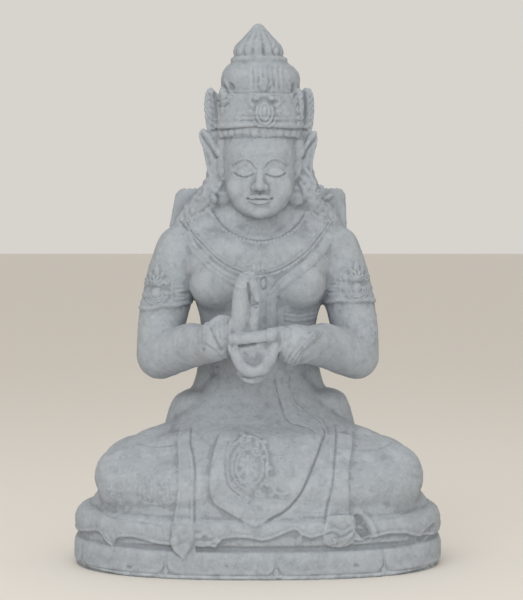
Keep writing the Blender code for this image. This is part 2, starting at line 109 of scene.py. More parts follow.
def loft(bm, sections, power=2.2, count=64):
    # bridges rounded oval rings (centre, half width, half depth), in metres, from the bottom up
    form = bmesh.new()
    loops = []
    for centre, halfX, halfY in sections:
        made = bmesh.ops.create_circle(form, segments=count, radius=1.0)["verts"]
        for v in made:
            x, y = v.co.x, v.co.y
            x = math.copysign(abs(x) ** (2 / power), x) * halfX
            y = math.copysign(abs(y) ** (2 / power), y) * halfY
            v.co = Vector((centre[0] + x, centre[1] + y, centre[2]))
        loops.append(list({e for v in made for e in v.link_edges}))
    for low, high in zip(loops[:-1], loops[1:]):
        bmesh.ops.bridge_loops(form, edges=low + high)
    bmesh.ops.holes_fill(form, edges=loops[0] + loops[-1], sides=0)
    bmesh.ops.recalc_face_normals(form, faces=form.faces[:])
    join(bm, form)


def body(bm, sections, power=2.2, count=64):
    # sections (z, centre x, centre y, half width, half depth) on the grid
    loft(bm, [(place(cx, cy, z), hx * unit, hy * unit) for z, cx, cy, hx, hy in sections], power, count)


def slab(bm, outline, front, back):
    # a closed outline (x, z) drawn on the grid, extruded from its front to its back
    form = bmesh.new()
    face = form.faces.new([form.verts.new(place(x, front, z)) for x, z in outline])
    made = bmesh.ops.extrude_face_region(form, geom=[face])["geom"]
    verts = [g for g in made if isinstance(g, bmesh.types.BMVert)]
    bmesh.ops.translate(form, verts=verts, vec=(0, (back - front) * unit, 0))
    bmesh.ops.triangulate(form, faces=form.faces[:])
    bmesh.ops.recalc_face_normals(form, faces=form.faces[:])
    join(bm, form)


def addTorso(bm):
    body(bm, [(170, 2, 40, 120, 84), (205, 2, 42, 124, 84), (235, 2, 38, 112, 76), (262, 1, 28, 98, 64),
              (290, 1, 22, 91, 59), (330, 1, 16, 86, 57), (360, 1, 12, 87, 58), (390, 1, 10, 95, 62),
              (420, 1, 10, 110, 66), (450, 2, 12, 122, 64), (474, 2, 16, 124, 56), (494, 2, 20, 104, 46),
              (512, 2, 20, 64, 38)])
    body(bm, [(470, 2, 14, 56, 48), (500, 3, 12, 44, 40), (516, 3, 11, 40, 36), (548, 3, 8, 38, 34)])
    for side in (-1, 1):
        limb(bm, [(18 * side, 12, 516, 38), (60 * side, 18, 496, 36), (104 * side, 20, 466, 38)])
        ball(bm, (57 * side, -25, 414), (45, 39, 41))
        ball(bm, (40 * side, -10, 452), (56, 43, 40))
        ball(bm, (66 * side, -14, 440), (42, 34, 38))
    ball(bm, (1, -8, 292), (70, 54, 46))
    # the belly spreads out on to the lap
    body(bm, [(190, 2, -26, 156, 96), (206, 2, -22, 134, 80), (220, 2, -16, 114, 64), (236, 2, -12, 98, 54),
              (254, 2, -9, 84, 50), (274, 1, -6, 72, 48)])


def addHips(bm):
    body(bm, [(180, 3, 40, 148, 92), (208, 3, 40, 142, 90), (228, 3, 40, 136, 86), (242, 4, 40, 130, 82),
              (250, 6, 40, 118, 76), (254, 8, 40, 100, 66)], power=2.8)


def addLegs(bm):
    body(bm, [(66, 2, -9, 240, 166), (84, 2, -9, 241, 166), (104, 2, -9, 241, 162), (124, 2, -8, 235, 156),
              (142, 2, -6, 222, 146), (158, 2, 0, 196, 128), (172, 2, 10, 150, 104)], power=2.3)
    # the lap, one full curve from the hem up to the belly
    body(bm, [(84, 2, -14, 214, 154), (118, 2, -14, 208, 153), (146, 2, -15, 194, 145),
              (163, 2, -17, 180, 134), (178, 2, -20, 164, 121), (191, 2, -22, 146, 105),
              (202, 2, -24, 126, 86), (210, 2, -26, 102, 64), (215, 2, -28, 70, 40)], power=2.6)
    for side, knee in ((-1, 45), (1, 49)):
        limb(bm, [(76 * side, 0, 165, 58), (146 * side, -52, 150, 54), (194 * side, -70, 134, knee)])
        limb(bm, [(190 * side, -82, 122, knee - 2), (112 * side, -120, 120, 44), (20 * side, -124, 120, 44)])
        ball(bm, (168 * side, -20, 140), (66, 70, 50))
        limb(bm, [(100 * side, -84, 160, 42), (150 * side, -78, 148, 43), (178 * side, -74, 138, 42)])
        limb(bm, [(100 * side, -100, 150, 40), (150 * side, -92, 141, 40), (182 * side, -82, 131, 38)])
    # its hem spreads over the plinth
    body(bm, [(76, 2, -4, 252, 171), (92, 2, -4, 251, 169), (102, 2, -6, 243, 162), (112, 2, -8, 228, 152)],
         2.4)


def addArms(bm):
    for side in (-1, 1):
        limb(bm, [(114 * side, 18, 462, 40), (128 * side, 12, 424, 39), (138 * side, 4, 383, 37),
                  (145 * side, -4, 345, 35), (146 * side, -12, 306, 35)])
        limb(bm, [(146 * side, -12, 306, 35), (96 * side, -62, 325, 33), (58 * side, -122, 328, 24)])


def addHair(bm):
    body(bm, [(500, 3, 46, 110, 38), (530, 3, 46, 104, 38), (552, 3, 42, 95, 38), (568, 3, 36, 84, 42),
              (585, 3, 28, 78, 48), (612, 3, 22, 77, 54), (650, 3, 14, 70, 58)])
    # locks behind the ears that run down on to the shoulders
    limb(bm, [(-62, 4, 634, 14), (-60, 2, 600, 14), (-58, 0, 576, 15.5), (-62, -2, 560, 18),
              (-72, 2, 543, 19), (-90, 14, 522, 20), (-104, 22, 500, 22)])
    limb(bm, [(66, 4, 634, 14), (65, 2, 600, 14), (66, 0, 582, 16), (71, -2, 564, 18), (76, -2, 548, 18),
              (90, 14, 526, 20), (103, 22, 502, 22)])


def addPanel(bm):
    # flat panel behind the shoulders, narrower down the back
    outline = [(200, 118, 118), (240, 100, 100), (300, 84, 84), (360, 84, 84), (420, 104, 104),
               (470, 134, 136), (500, 134, 135), (530, 129, 134), (548, 125, 133), (556, 117, 127)]
    loft(bm, [(place((right - left) / 2, 64, z), (left + right) / 2 * unit, 26 * unit)
              for z, left, right in outline], power=7)


def addPlinth(bm):
    profile = [(0.0, 0.003), (0.002, 0.0005), (0.005, 0.0), (0.030, 0.0), (0.0365, 0.0012),
               (0.0395, 0.0026), (0.046, 0.0028), (0.050, 0.0018), (0.058, 0.001), (0.070, 0.001),
               (0.079, 0.004), (0.085, 0.011), (0.089, 0.022), (0.090, 0.040)]
    share = plinthHeight / profile[-1][0]
    loft(bm, [((0, 0, z * share), plinthHalf[0] - inset, plinthHalf[1] - inset) for z, inset in profile],
         power=plinthRound, count=200)
    # the two sash ends hang in front of the groove
    slab(bm, [(-121, 75), (-121, 50), (-117, 42), (-105, 28), (-94, 42), (-90, 52), (-90, 75)], -176, -130)
    end = [(96, 88), (93, 70), (97, 56), (106, 48), (118, 48), (128, 55), (137, 66), (138, 80), (132, 90)]
    slab(bm, curve(end + end[:1], 5)[:-1], -173, -130)


crown = {
    "axis": (2, -2),  # its upright axis on the grid
    "depth": 0.97,  # front-to-back against side-to-side
    "flutes": 30,
    "petals": 14,
    # lower edge of the pleated fringe, which runs unevenly (x, z)
    "fringe": [(-62, 627), (-53, 629), (-42, 630.5), (-31, 632), (-20, 631.5), (-9, 629.4), (5, 627.6),
               (17, 627.8), (31, 629.6), (44, 629.4), (54, 628.6), (66, 626)],
}


def addCrown(bm):
    # (height, shift to the side, radius)
    profile = [(626.5, 1, 58), (628.5, 1, 63), (631, 1, 64.5), (639, 1, 65.5), (641, 1, 68), (645, 1, 70),
               (650, 1, 69), (654, 1, 68), (657, 1, 69), (660, 1, 67.5), (684, 0, 64), (688, 0, 65),
               (692, 0, 63.5), (695, 1, 60), (698, 2, 58), (708, 2, 58.5), (718, 2, 59), (727, 2, 57),
               (735, 1, 50.5), (740, 0, 44), (742, 0, 41.5), (745, 0, 42.5), (748.5, 0, 41.5),
               (751, -1, 36), (757, -1, 37.5), (762, -1, 37), (767, -1, 35), (774, -1, 28.5),
               (782, -1, 20.5), (790, -1, 13), (795, -1, 9), (798.5, -1, 5.5), (800, -1, 2.5)]
    ax, ay = crown["axis"]
    loft(bm, [(place(ax + shift, ay, z), r * unit, r * unit * crown["depth"]) for z, shift, r in profile],
         2, 96)
    # gem and stacked ornament at the front
    ball(bm, (9, -64, 665), (12, 7, 16))
    ball(bm, (8, -56, 704), (9, 6, 15))
    for x, z in ((-1, 684), (19, 685)):
        ball(bm, (x, -63, z), (4.5, 5, 4.5), segments=20)


def addSideLeaves(bm):
    # leaf wings of the crown, and the ears, pointed leaves too
    wings = ([(-70, 706), (-75, 702), (-78, 692), (-79, 674), (-77, 655), (-75, 640), (-66, 624),
              (-54, 610), (-50, 640), (-54, 690), (-64, 700)],
             [(70, 705), (79, 703), (83, 692), (84, 672), (82, 652), (80, 638), (70, 624), (56, 610),
              (54, 640), (58, 690)])
    for outline in wings:
        slab(bm, outline, -14, 24)
    ears = ([(-87, 638), (-82, 643), (-75, 637), (-62, 616), (-54, 590), (-56, 560), (-72, 560), (-75, 583),
             (-78, 598), (-82, 616), (-87, 630)],
            [(89, 630), (86, 639), (79, 636), (66, 614), (58, 590), (60, 560), (78, 560), (81, 583),
             (82, 598), (85, 613), (88, 624)])
    for outline in ears:
        slab(bm, outline, -16, 20)
    limb(bm, [(60, -28, 650, 7), (62, -26, 676, 7), (60, -26, 698, 5)], segments=16)
    limb(bm, [(-50, -36, 668, 6), (-48, -38, 684, 6.5), (-52, -34, 700, 4)], segments=16)
    # pale bead at the end of the right lobe, ribbon beside the left lock
    ball(bm, (-65, -22, 540), (6, 6, 7), segments=20)
    ball(bm, (92, -2, 550), (9, 8, 11), segments=24)
    limb(bm, [(90, -2, 546, 5), (100, 4, 540, 5), (111, 12, 545, 4)], segments=16)


face = {
    "axis": 3,  # the head's middle on the grid
    "eyeAt": 577, "mouthAt": 537.5,
    "eyeApart": 22.5,  # middle of an eye to the middle of the face
    "eyeWide": 12.5, "mouthWide": 18,
}


def addHead(bm):
    # full cheeks and a small round chin, by sections from the chin up
    body(bm, [(511.5, 3, -38, 11, 11), (514, 3, -37, 20, 20), (519, 3, -33, 29, 28),
              (526, 3, -29, 36.5, 34), (535, 3, -24, 42.5, 40), (547, 3, -19, 48, 45.5),
              (560, 3, -14, 51.5, 51), (577, 3, -9, 53.5, 56), (595, 3, -6, 55, 60.5), (612, 3, -3, 56, 63),
              (630, 3, 0, 56, 63), (650, 3, 4, 52, 60)], power=2.15)
    ball(bm, (3, 10, 600), (57, 62, 62))
    mid = face["axis"]
    for side in (-1, 1):
        ball(bm, (mid + 27 * side, -39, 555), (22, 19, 22), segments=32)
    ball(bm, (mid, -55, 519), (14, 10, 9), segments=24)
    ball(bm, (mid, -52, 540), (20, 15, 16), segments=32)
    # hair at the temples and behind the jaw
    for x in (-48, 55):
        limb(bm, [(x, -14, 624, 14), (x, -14, 600, 13), (x, -12, 578, 12)])
    ball(bm, (-50, -3, 546), (17, 17, 20))
    ball(bm, (56, -3, 546), (17, 17, 20))
    limb(bm, [(mid, -56, 596, 8), (mid, -62, 578, 7.5), (mid, -66, 562, 7.5)], segments=20)


def addFace(bm):
    mid, apart = face["axis"], face["eyeApart"]
    limb(bm, [(mid, -61, 590, 5), (mid, -65, 576, 5.2), (mid, -71, 563, 6), (mid, -74, 556.5, 7)],
         segments=20)
    for side in (-1, 1):
        ball(bm, (mid + 8 * side, -67, 555), (6, 7.5, 5.6), segments=20)
        ball(bm, (mid + apart * side, -52.5, face["eyeAt"]), (14, 9.5, 8.2), turn=(0, 4 * side, 12 * side),
             segments=28)
        ball(bm, (mid + 6 * side, -64.5, 540.8), (10.5, 5.2, 3.7), turn=(0, 10 * side, 16 * side),
             segments=24)
    ball(bm, (mid, -63.5, 532.6), (13, 6.4, 4.6), segments=24)


def addHands(bm):
    # the right hand rises side on, and its first finger bends over to meet the thumb
    limb(bm, [(-62, -108, 334, 28), (-46, -122, 338, 25), (-34, -132, 342, 18), (-26, -144, 356, 14),
              (-23.5, -150, 380, 13.2), (-22, -154, 404, 13.2), (-18, -156, 421, 11.5)], segments=28)
    limb(bm, [(-18, -155, 421, 11.5), (-10, -158, 423, 9.5), (-4.5, -161, 413, 6.8), (-2.5, -163, 402, 6),
              (0, -164, 393, 4.6)], segments=20)
    limb(bm, [(-8, -144, 350, 10), (-5, -148, 372, 8), (-2, -153, 384, 6)], segments=20)
    # the left hand lies across below it: a thumb over a cup of curled fingers
    limb(bm, [(62, -110, 328, 28), (48, -122, 329, 27), (36, -132, 334, 19), (30, -138, 340, 15)],
         segments=28)
    limb(bm, [(34, -138, 342, 14), (18, -150, 342, 11), (0, -156, 340, 10), (-16, -158, 339, 9.6),
              (-32, -154, 338, 9)], segments=24)
    ball(bm, (-6, -144, 316), (30, 17, 31))
    ball(bm, (-6, -147, 300), (19, 16, 17))
    limb(bm, [(-33, -149, 331, 8), (-30, -153, 316, 9), (-24, -156, 303, 9.5), (-15, -158, 295, 10),
              (-5, -159, 293, 10), (7, -157, 296, 10), (15, -154, 308, 10), (20, -150, 320, 10),
              (24, -145, 334, 10)], segments=24)
    limb(bm, [(-27, -142, 290, 4), (-18, -149, 282, 5.5), (-8, -151, 279.5, 5.8), (2, -149, 281, 5.5),
              (11, -143, 288, 4)], segments=16)
    # broad wrists under the bracelets
    ball(bm, (-50, -116, 341), (24, 23, 29), turn=(0, 0, -40))
    ball(bm, (50, -116, 328), (22, 22, 30), turn=(0, 0, 40))


# One skin around all the forms


def pointsOf(mesh, kind="co"):
    values = np.empty(len(mesh.vertices) * 3)
    mesh.vertices.foreach_get(kind, values)
    return values.reshape(-1, 3)


def movePoints(mesh, points):
    mesh.vertices.foreach_set("co", points.ravel())
    mesh.update()


def newObject(name, bm):
    mesh = bpy.data.meshes.new(name)
    bm.to_mesh(mesh)
    bm.free()
    obj = bpy.data.objects.new(name, mesh)
    bpy.context.scene.collection.objects.link(obj)
    return obj


def bakeModifiers(obj):
    graph = bpy.context.evaluated_depsgraph_get()
    made = bpy.data.meshes.new_from_object(obj.evaluated_get(graph))
    old = obj.data
    obj.modifiers.clear()
    obj.data = made
    bpy.data.meshes.remove(old)


def fuse(name, adders, cell, rounds, others=()):
    # voxel skin around the forms and any fused bodies given, rubbed smooth where they meet
    bm = bmesh.new()
    for add in adders:
        add(bm)
    for other in others:
        bm.from_mesh(other.data)
        bpy.data.objects.remove(other)
    obj = newObject(name, bm)
    remesh = obj.modifiers.new("skin", "REMESH")
    remesh.mode = "VOXEL"
    remesh.voxel_size = cell
    remesh.use_smooth_shade = True
    if rounds:
        smooth = obj.modifiers.new("rub", "SMOOTH")
        smooth.factor = 0.5
        smooth.iterations = rounds
    bakeModifiers(obj)
    print(name, "fused:", len(obj.data.polygons), "faces")
    return obj


# Carving: every motif adds to a height above the skin, and the points then move along their normals


def ease(value, low, high):
    t = np.clip((value - low) / (high - low), 0.0, 1.0)
    return t * t * (3 - 2 * t)


def plateau(distance, half, edge):
    return 1.0 - ease(np.abs(distance), half, half + edge)


def mound(distance, half):
    # round in section: 1 on the line, 0 at half from it
    return np.sqrt(np.clip(1 - (distance / half) ** 2, 0.0, 1.0))


def between(a, b, c, d, t):
    # one coordinate of the smooth line from b to c, with a before them and d after
    bend = (2 * a - 5 * b + 4 * c - d) * t ** 2
    twist = (3 * b - a - 3 * c + d) * t ** 3
    return 0.5 * (2 * b + (c - a) * t + bend + twist)


def curve(points, steps=6):
    # a smooth run through a few points
    ends = [points[0]] + list(points) + [points[-1]]
    out = []
    for a, b, c, d in zip(ends[:-3], ends[1:-2], ends[2:-1], ends[3:]):
        for k in range(steps):
            t = k / steps
            out.append(tuple(between(a[i], b[i], c[i], d[i], t) for i in range(2)))
    return out + [tuple(points[-1])]


def toLine(x, z, points):
    # distance to a run of straight pieces, length along it, and its whole length
    best, along, done = np.full(x.shape, 1e9), np.zeros(x.shape), 0.0
    for a, b in zip(points[:-1], points[1:]):
        dx, dz = b[0] - a[0], b[1] - a[1]
        long = math.hypot(dx, dz) or 1e-9
        t = np.clip(((x - a[0]) * dx + (z - a[1]) * dz) / long ** 2, 0.0, 1.0)
        far = np.hypot(x - a[0] - t * dx, z - a[1] - t * dz)
        near = far < best
        best, along = np.where(near, far, best), np.where(near, done + t * long, along)
        done += long
    return best, along, done


def toOutline(x, z, points):
    # distance to a closed outline, above 0 inside it
    inside = np.zeros(x.shape, bool)
    for a, b in zip(points, points[1:] + points[:1]):
        rise = b[1] - a[1] if b[1] != a[1] else 1e-9
        inside ^= ((a[1] > z) != (b[1] > z)) & (x < (b[0] - a[0]) * (z - a[1]) / rise + a[0])
    distance = toLine(x, z, points + points[:1])[0]
    return np.where(inside, distance, -distance)


def near(skin, points, reach):
    # forward-facing points around a motif, none further back than asked
    xs, zs = [p[0] for p in points], [p[1] for p in points]
    pick = (skin.x > min(xs) - reach) & (skin.x < max(xs) + reach) & (skin.front > 0)
    pick &= (skin.z > min(zs) - reach) & (skin.z < max(zs) + reach)
    pick &= skin.y < skin.back
    return np.nonzero(pick)[0]


def nearOutline(skin, outline, reach):
    # the points around a closed outline, and how far inside it each lies
    at = near(skin, outline, reach)
    return at, toOutline(skin.x[at], skin.z[at], outline)


def raiseBy(skin, at, height):
    skin.height[at] += height * skin.front[at]


def ridge(skin, points, half, height, edge=1.6):
    at = near(skin, points, half + edge)
    if len(at):
        far = toLine(skin.x[at], skin.z[at], points)[0]
        raiseBy(skin, at, height * plateau(far, half, edge))


def stroke(skin, points, half, height, edge=1.6):
    ridge(skin, curve(points), half, height, edge)


def roll(skin, points, half, height):
    at = near(skin, points, half)
    if len(at):
        raiseBy(skin, at, height * mound(toLine(skin.x[at], skin.z[at], points)[0], half))


def rope(skin, points, half, height):
    roll(skin, curve(points), half, height)


def beads(skin, points, step, radius, height):
    at = near(skin, points, radius)
    if len(at):
        far, along, long = toLine(skin.x[at], skin.z[at], points)
        gap = long / max(1, round(long / step))
        across = np.abs(along % gap - gap / 2)
        raiseBy(skin, at, height * mound(np.hypot(far, across), radius))


def heading(angle):
    return math.cos(math.radians(angle)), math.sin(math.radians(angle))


def gem(skin, cx, cz, rx, rz, height):
    at = near(skin, [(cx, cz)], max(rx, rz))
    raiseBy(skin, at, height * mound(np.hypot((skin.x[at] - cx) / rx, (skin.z[at] - cz) / rz), 1.0))


def dish(skin, cx, cz, rx, rz, turn, height, flat=0.25):
    # oval hollow or swelling, turned on the surface, with a flat middle
    c, s = heading(turn)
    at = near(skin, [(cx, cz)], max(rx, rz))
    u = ((skin.x[at] - cx) * c + (skin.z[at] - cz) * s) / rx
    v = (-(skin.x[at] - cx) * s + (skin.z[at] - cz) * c) / rz
    raiseBy(skin, at, height * (1 - ease(np.hypot(u, v), flat, 1.0)))


def oval(cx, cz, rx, rz, start=0, end=360, steps=28):
    span = [math.radians(start + (end - start) * k / steps) for k in range(steps + 1)]
    return [(cx + rx * math.cos(a), cz + rz * math.sin(a)) for a in span]


def spiral(cx, cz, radius, turns=1.5, start=0, way=1, steps=30):
    out = []
    for k in range(steps + 1):
        t = k / steps
        angle = math.radians(start) + way * turns * 2 * math.pi * t
        out.append((cx + radius * (1 - 0.85 * t) * math.cos(angle),
                    cz + radius * (1 - 0.85 * t) * math.sin(angle)))
    return out


def leaf(skin, cx, cz, angle, long, wide, height):
    # pointed oval from its foot, with a groove down the middle
    c, s = heading(angle)
    at = near(skin, [(cx, cz), (cx + c * long, cz + s * long)], wide)
    u = ((skin.x[at] - cx) * c + (skin.z[at] - cz) * s) / long
    v = -(skin.x[at] - cx) * s + (skin.z[at] - cz) * c
    half = wide / 2 * np.sin(np.pi * np.clip(u, 0, 1) ** 0.8) + 1e-6
    shape = mound(v / half, 1.0) * ((u > 0) & (u < 1))
    raiseBy(skin, at, height * (shape - 0.45 * np.exp(-(v / 0.9) ** 2) * (shape > 0.4)))


def rosette(skin, cx, cz, radius, petals, height):
    at = near(skin, [(cx, cz)], radius)
    dx, dz = skin.x[at] - cx, skin.z[at] - cz
    far, angle = np.hypot(dx, dz) / radius, np.arctan2(dz, dx)
    rim = 0.78 + 0.22 * np.abs(np.cos(angle * petals / 2))
    shape = mound(far / rim, 1.0) * (0.55 + 0.45 * np.abs(np.cos(angle * petals / 2)))
    heart = mound(far, 0.3)
    raiseBy(skin, at, height * np.maximum(shape * ease(far, 0.2, 0.42), heart))


def swell(x, y, z, size, seed, count=14):
    # smooth uneven field, about -1 to 1
    pick = np.random.default_rng(seed)
    total = np.zeros(x.shape)
    for _ in range(count):
        way = pick.normal(size=3)
        way *= 2 * math.pi / size / np.linalg.norm(way) * pick.uniform(0.6, 1.4)
        total += np.sin(x * way[0] + y * way[1] + z * way[2] + pick.uniform(0, 6.28))
    return total / math.sqrt(count)


def carveCrown(skin):
    ax, ay = crown["axis"]
    around = np.arctan2(skin.x - ax, -(skin.y - ay))
    radius = np.hypot(skin.x - ax, skin.y - ay)
    on = (radius < 72) & (skin.z > 618)
    worn = 0.75 + 0.25 * np.sin(around * 3 + 1)
    # pleated fringe under the band, uneven along its lower edge
    pleat = np.abs(np.sin(around * crown["flutes"] / 2))
    deep = 0.8 + 0.2 * ease(np.abs(skin.x - 3), 14, 40)
    fringe = np.where(skin.y < 0, np.interp(skin.x, *zip(*crown["fringe"])), 628.6 + 1.2 * np.sin(around * 9))
    fringe = fringe + 1.9 * (1 - pleat) * deep + 0.6 * np.sin(around * 21 + 1)
    skin.height += on * plateau(skin.z - 635, 3.6, 1.8) * (2.2 * pleat - 1.4) * deep
    skin.height -= on * 1.7 * (1 - ease(skin.z - fringe, -0.7, 0.7)) * (skin.z > 626.4)
    skin.height -= on * 2.9 * plateau(skin.z - 640.6 - 0.8 * np.sin(around * 4 + 2), 0.8, 1.2)
    # mouldings of the band
    brow = plateau(skin.x - 2, 44, 8) * skin.front + (1 - skin.front)
    for level, height in ((652, -1.1), (658.8, -1.3), (646, 0.7)):
        line = skin.z - level + 0.5 * np.sin(around * 5)
        skin.height += on * brow * worn * height * plateau(line, 0.6, 1.1)
    aside = ease(np.abs(skin.x - 9), 10, 16)
    skin.height -= on * worn * 1.2 * plateau(skin.z - 689.5, 0.6, 1.2) * brow * aside
    skin.height -= on * 1.2 * plateau(skin.z - 694.5, 0.5, 1.2) * brow
    # bud and dome
    petal = np.abs(np.cos(around * crown["petals"] / 2 + 0.35))
    skin.height -= on * 2.4 * (1 - petal ** 0.5) * ease(skin.z, 751, 755) * (1 - ease(skin.z, 778, 792))
    skin.height += on * 1.4 * (mound(1 - petal, 0.6) - 0.6) * plateau(skin.z - 757, 3, 3)
    flute = np.cos((skin.x - 12) * 2 * math.pi / 7.6 + 0.5 * np.sin(skin.z / 6))
    mid = plateau(skin.x - 13, 22, 5) * skin.front
    skin.height += on * mid * 1.0 * flute * ease(skin.z, 698, 704) * (1 - ease(skin.z, 728, 738))
    back = (1 - skin.front) * ease(skin.ny, -0.1, 0.3)
    skin.height -= on * back * 1.0 * (1 - np.abs(np.cos(around * 8)) ** 0.4) * ease(skin.z, 700, 706) * \
        (1 - ease(skin.z, 728, 736))
    skin.back = -6
    stroke(skin, [(8, 768), (9, 760), (9, 751)], 0.7, -2.4, 1.8)
    stroke(skin, [(-20, 766), (-21, 758), (-19, 751)], 0.5, -1.5, 1.6)
    stroke(skin, [(27, 764), (25, 757), (24, 751)], 0.5, -1.5, 1.6)
    # leaf-shaped hollows either side of the dome
    dish(skin, -38.5, 704.5, 8, 4.2, -52, -4.6)
    rope(skin, [(-49, 715), (-44, 706), (-40, 696), (-36, 692)], 2.4, 2.2)
    dish(skin, 52, 702, 11, 4.2, 70, -4.6)
    dish(skin, 55, 690, 8, 2.6, 80, -3.4)
    rope(skin, [(43, 712), (48, 702), (50, 692)], 2.2, 1.6)
    # overlapping leaves on the band's right end
    for foot, long, wide, high in (((-43, 697), 18, 13, 2.6), ((-42, 687), 17, 11, 2.4),
                                   ((-43, 676), 16, 9, 1.2)):
        leaf(skin, *foot, 197, long, wide, high)
    stroke(skin, [(-60, 684.5), (-52, 683), (-45, 687)], 0.5, -1.8, 1.4)
    stroke(skin, [(-58, 676), (-51, 674), (-44, 678)], 0.6, -2.2, 1.6)
    # middle ornament: gem in three rings, leaf sprays, pearls climbing the dome
    gem(skin, 10, 665, 3.4, 8.5, 2.2)
    ridge(skin, oval(10, 665, 7, 12), 0.9, 1.6, 1.0)
    ridge(skin, oval(10, 664, 12, 17, 150, 390), 1.1, 2.0, 1.1)
    ridge(skin, oval(10, 661, 17, 19, 195, 345), 1.1, 2.0, 1.2)
    ridge(skin, oval(10, 661, 14.4, 18, 195, 345), 0.4, -1.2, 0.9)
    for side in (-1, 1):
        for k, (dx, dz, turn) in enumerate(((11, 15, 52), (14, 8, 30), (16, 0, 8), (15, -8, -16))):
            leaf(skin, 10 + side * dx, 665 + dz, 90 + side * (turn - 90), 13 - k, 6, 2.0)
        roll(skin, spiral(10 + side * 24, 683, 4.5, 1.1, 90, side), 1.5, 1.4)
        roll(skin, spiral(10 + side * 39, 655, 4.2, 1.2, 90 - side * 90, side), 1.4, 1.2)
        beads(skin, [(10 + side * 18, 655.3), (10 + side * 34, 655.3)], 5.2, 2.0, 0.9)
        leaf(skin, 10 + side * 8, 693, 90 - side * 30, 12, 5, 2.0)
        leaf(skin, 10 + side * 6, 701, 90 - side * 24, 11, 4.6, 1.7)
        gem(skin, 10 + side * 12, 681, 2.2, 2.2, -2.0)
    for z, r in ((690, 3.2), (698, 3.8), (706, 3.2), (713, 2.6)):
        gem(skin, 9, z, r, r, 1.8)
    gem(skin, -1, 684, 4, 4, 1.4)
    gem(skin, 19, 684.5, 4, 4, 1.4)
    gem(skin, -23, 734, 3.6, 3.4, 1.6)
    gem(skin, -19, 719, 2.2, 3.2, 1.0)
    # wings: a long leaf on the right side of the head, a column of scrolls on the left
    skin.back = 10
    leaf(skin, -72, 640, 93, 66, 13, 2.0)
    roll(skin, spiral(-72, 689, 3.6, 1.2, 0, 1), 1.3, 1.2)
    stroke(skin, [(-62, 642), (-62, 668), (-64, 696)], 1.0, -3.0, 1.6)
    for k in range(6):
        stroke(skin, [(-66, 646 + k * 9), (-72, 650 + k * 9), (-78, 658 + k * 9)], 0.5, -1.5, 1.3)
        stroke(skin, [(77, 644 + k * 9), (81, 649 + k * 9), (86, 652 + k * 9)], 0.5, -1.5, 1.3)
    stroke(skin, [(68.5, 642), (70, 668), (69, 698)], 0.8, -2.6, 1.4)
    for k in range(5):
        roll(skin, spiral(62, 648 + k * 11, 4.6, 1.1, 60 * k, 1 - 2 * (k % 2)), 1.5, 1.8)
        leaf(skin, 72, 646 + k * 11, 55, 12, 6, 1.1)
    # the plainer leaves round its back
    rear = on & (skin.ny > -0.2) & (skin.y > -20)
    skin.height += rear * 1.1 * (1 - np.abs(np.sin(around * 7)) ** 0.6) * plateau(skin.z - 674, 8, 4)


def carveHair(skin):
    # a lumpy fall of hair over the shoulders, and lines that fan down the back of the head
    side = (np.abs(skin.x - 3) > 52) & (skin.z > 505) & (skin.z < 590) & (skin.y < 24) & (skin.ny < 0.1)
    fade = ease(skin.z, 505, 525) * (1 - ease(skin.z, 572, 588))
    skin.height += side * fade * 0.8 * swell(skin.x, skin.y, skin.z, 11, 8)
    back = (skin.y > 16) & (skin.z > 556) & (skin.z < 622) & (skin.ny > -0.3)
    skin.height += back * 0.9 * np.cos((skin.x + 0.12 * skin.x * (600 - skin.z) / 40) * 2 * math.pi / 9)
    skin.back = 30
    roll(skin, spiral(90, 551, 8, 1.3, 40, 1), 2.0, 1.8)
    rope(skin, [(70, 584), (80, 572), (85, 560)], 3.0, 1.5)
    rope(skin, [(64, 562), (69, 548), (66, 534)], 3.0, 1.5)
    rope(skin, [(-52, 568), (-58, 555), (-66, 546)], 3.2, 1.8)
    rope(skin, [(-76, 560), (-80, 548), (-88, 540)], 3.0, 1.4)
    rope(skin, [(-92, 532), (-98, 520), (-104, 508)], 3.4, 1.2)
    skin.back = 40
    stroke(skin, [(96, 541), (104, 537), (112, 543)], 1.0, -2.4, 1.4)
    for x, z in ((-84, 524), (-92, 514), (-100, 524), (-88, 536), (86, 524), (94, 514), (102, 526)):
        rosette(skin, x, z, 5.5, 5, 1.0)


def carveEars(skin):
    # each has a rolled inner edge over a crease, and a long hollow face
    skin.back = 16
    rope(skin, [(-80, 641), (-72, 632), (-65, 620), (-60, 606)], 4.0, 2.4)
    stroke(skin, [(-84, 635), (-77, 625), (-69, 613), (-62, 600)], 0.5, -3.0, 2.2)
    dish(skin, -74, 600, 24, 6, 103, -2.2)
    rope(skin, [(84, 637), (78, 630), (72, 618), (66, 604)], 4.0, 2.4)
    stroke(skin, [(88, 631), (80, 622), (73, 612), (67, 600)], 0.5, -3.0, 2.2)
    dish(skin, 79, 598, 24, 6, 80, -2.2)


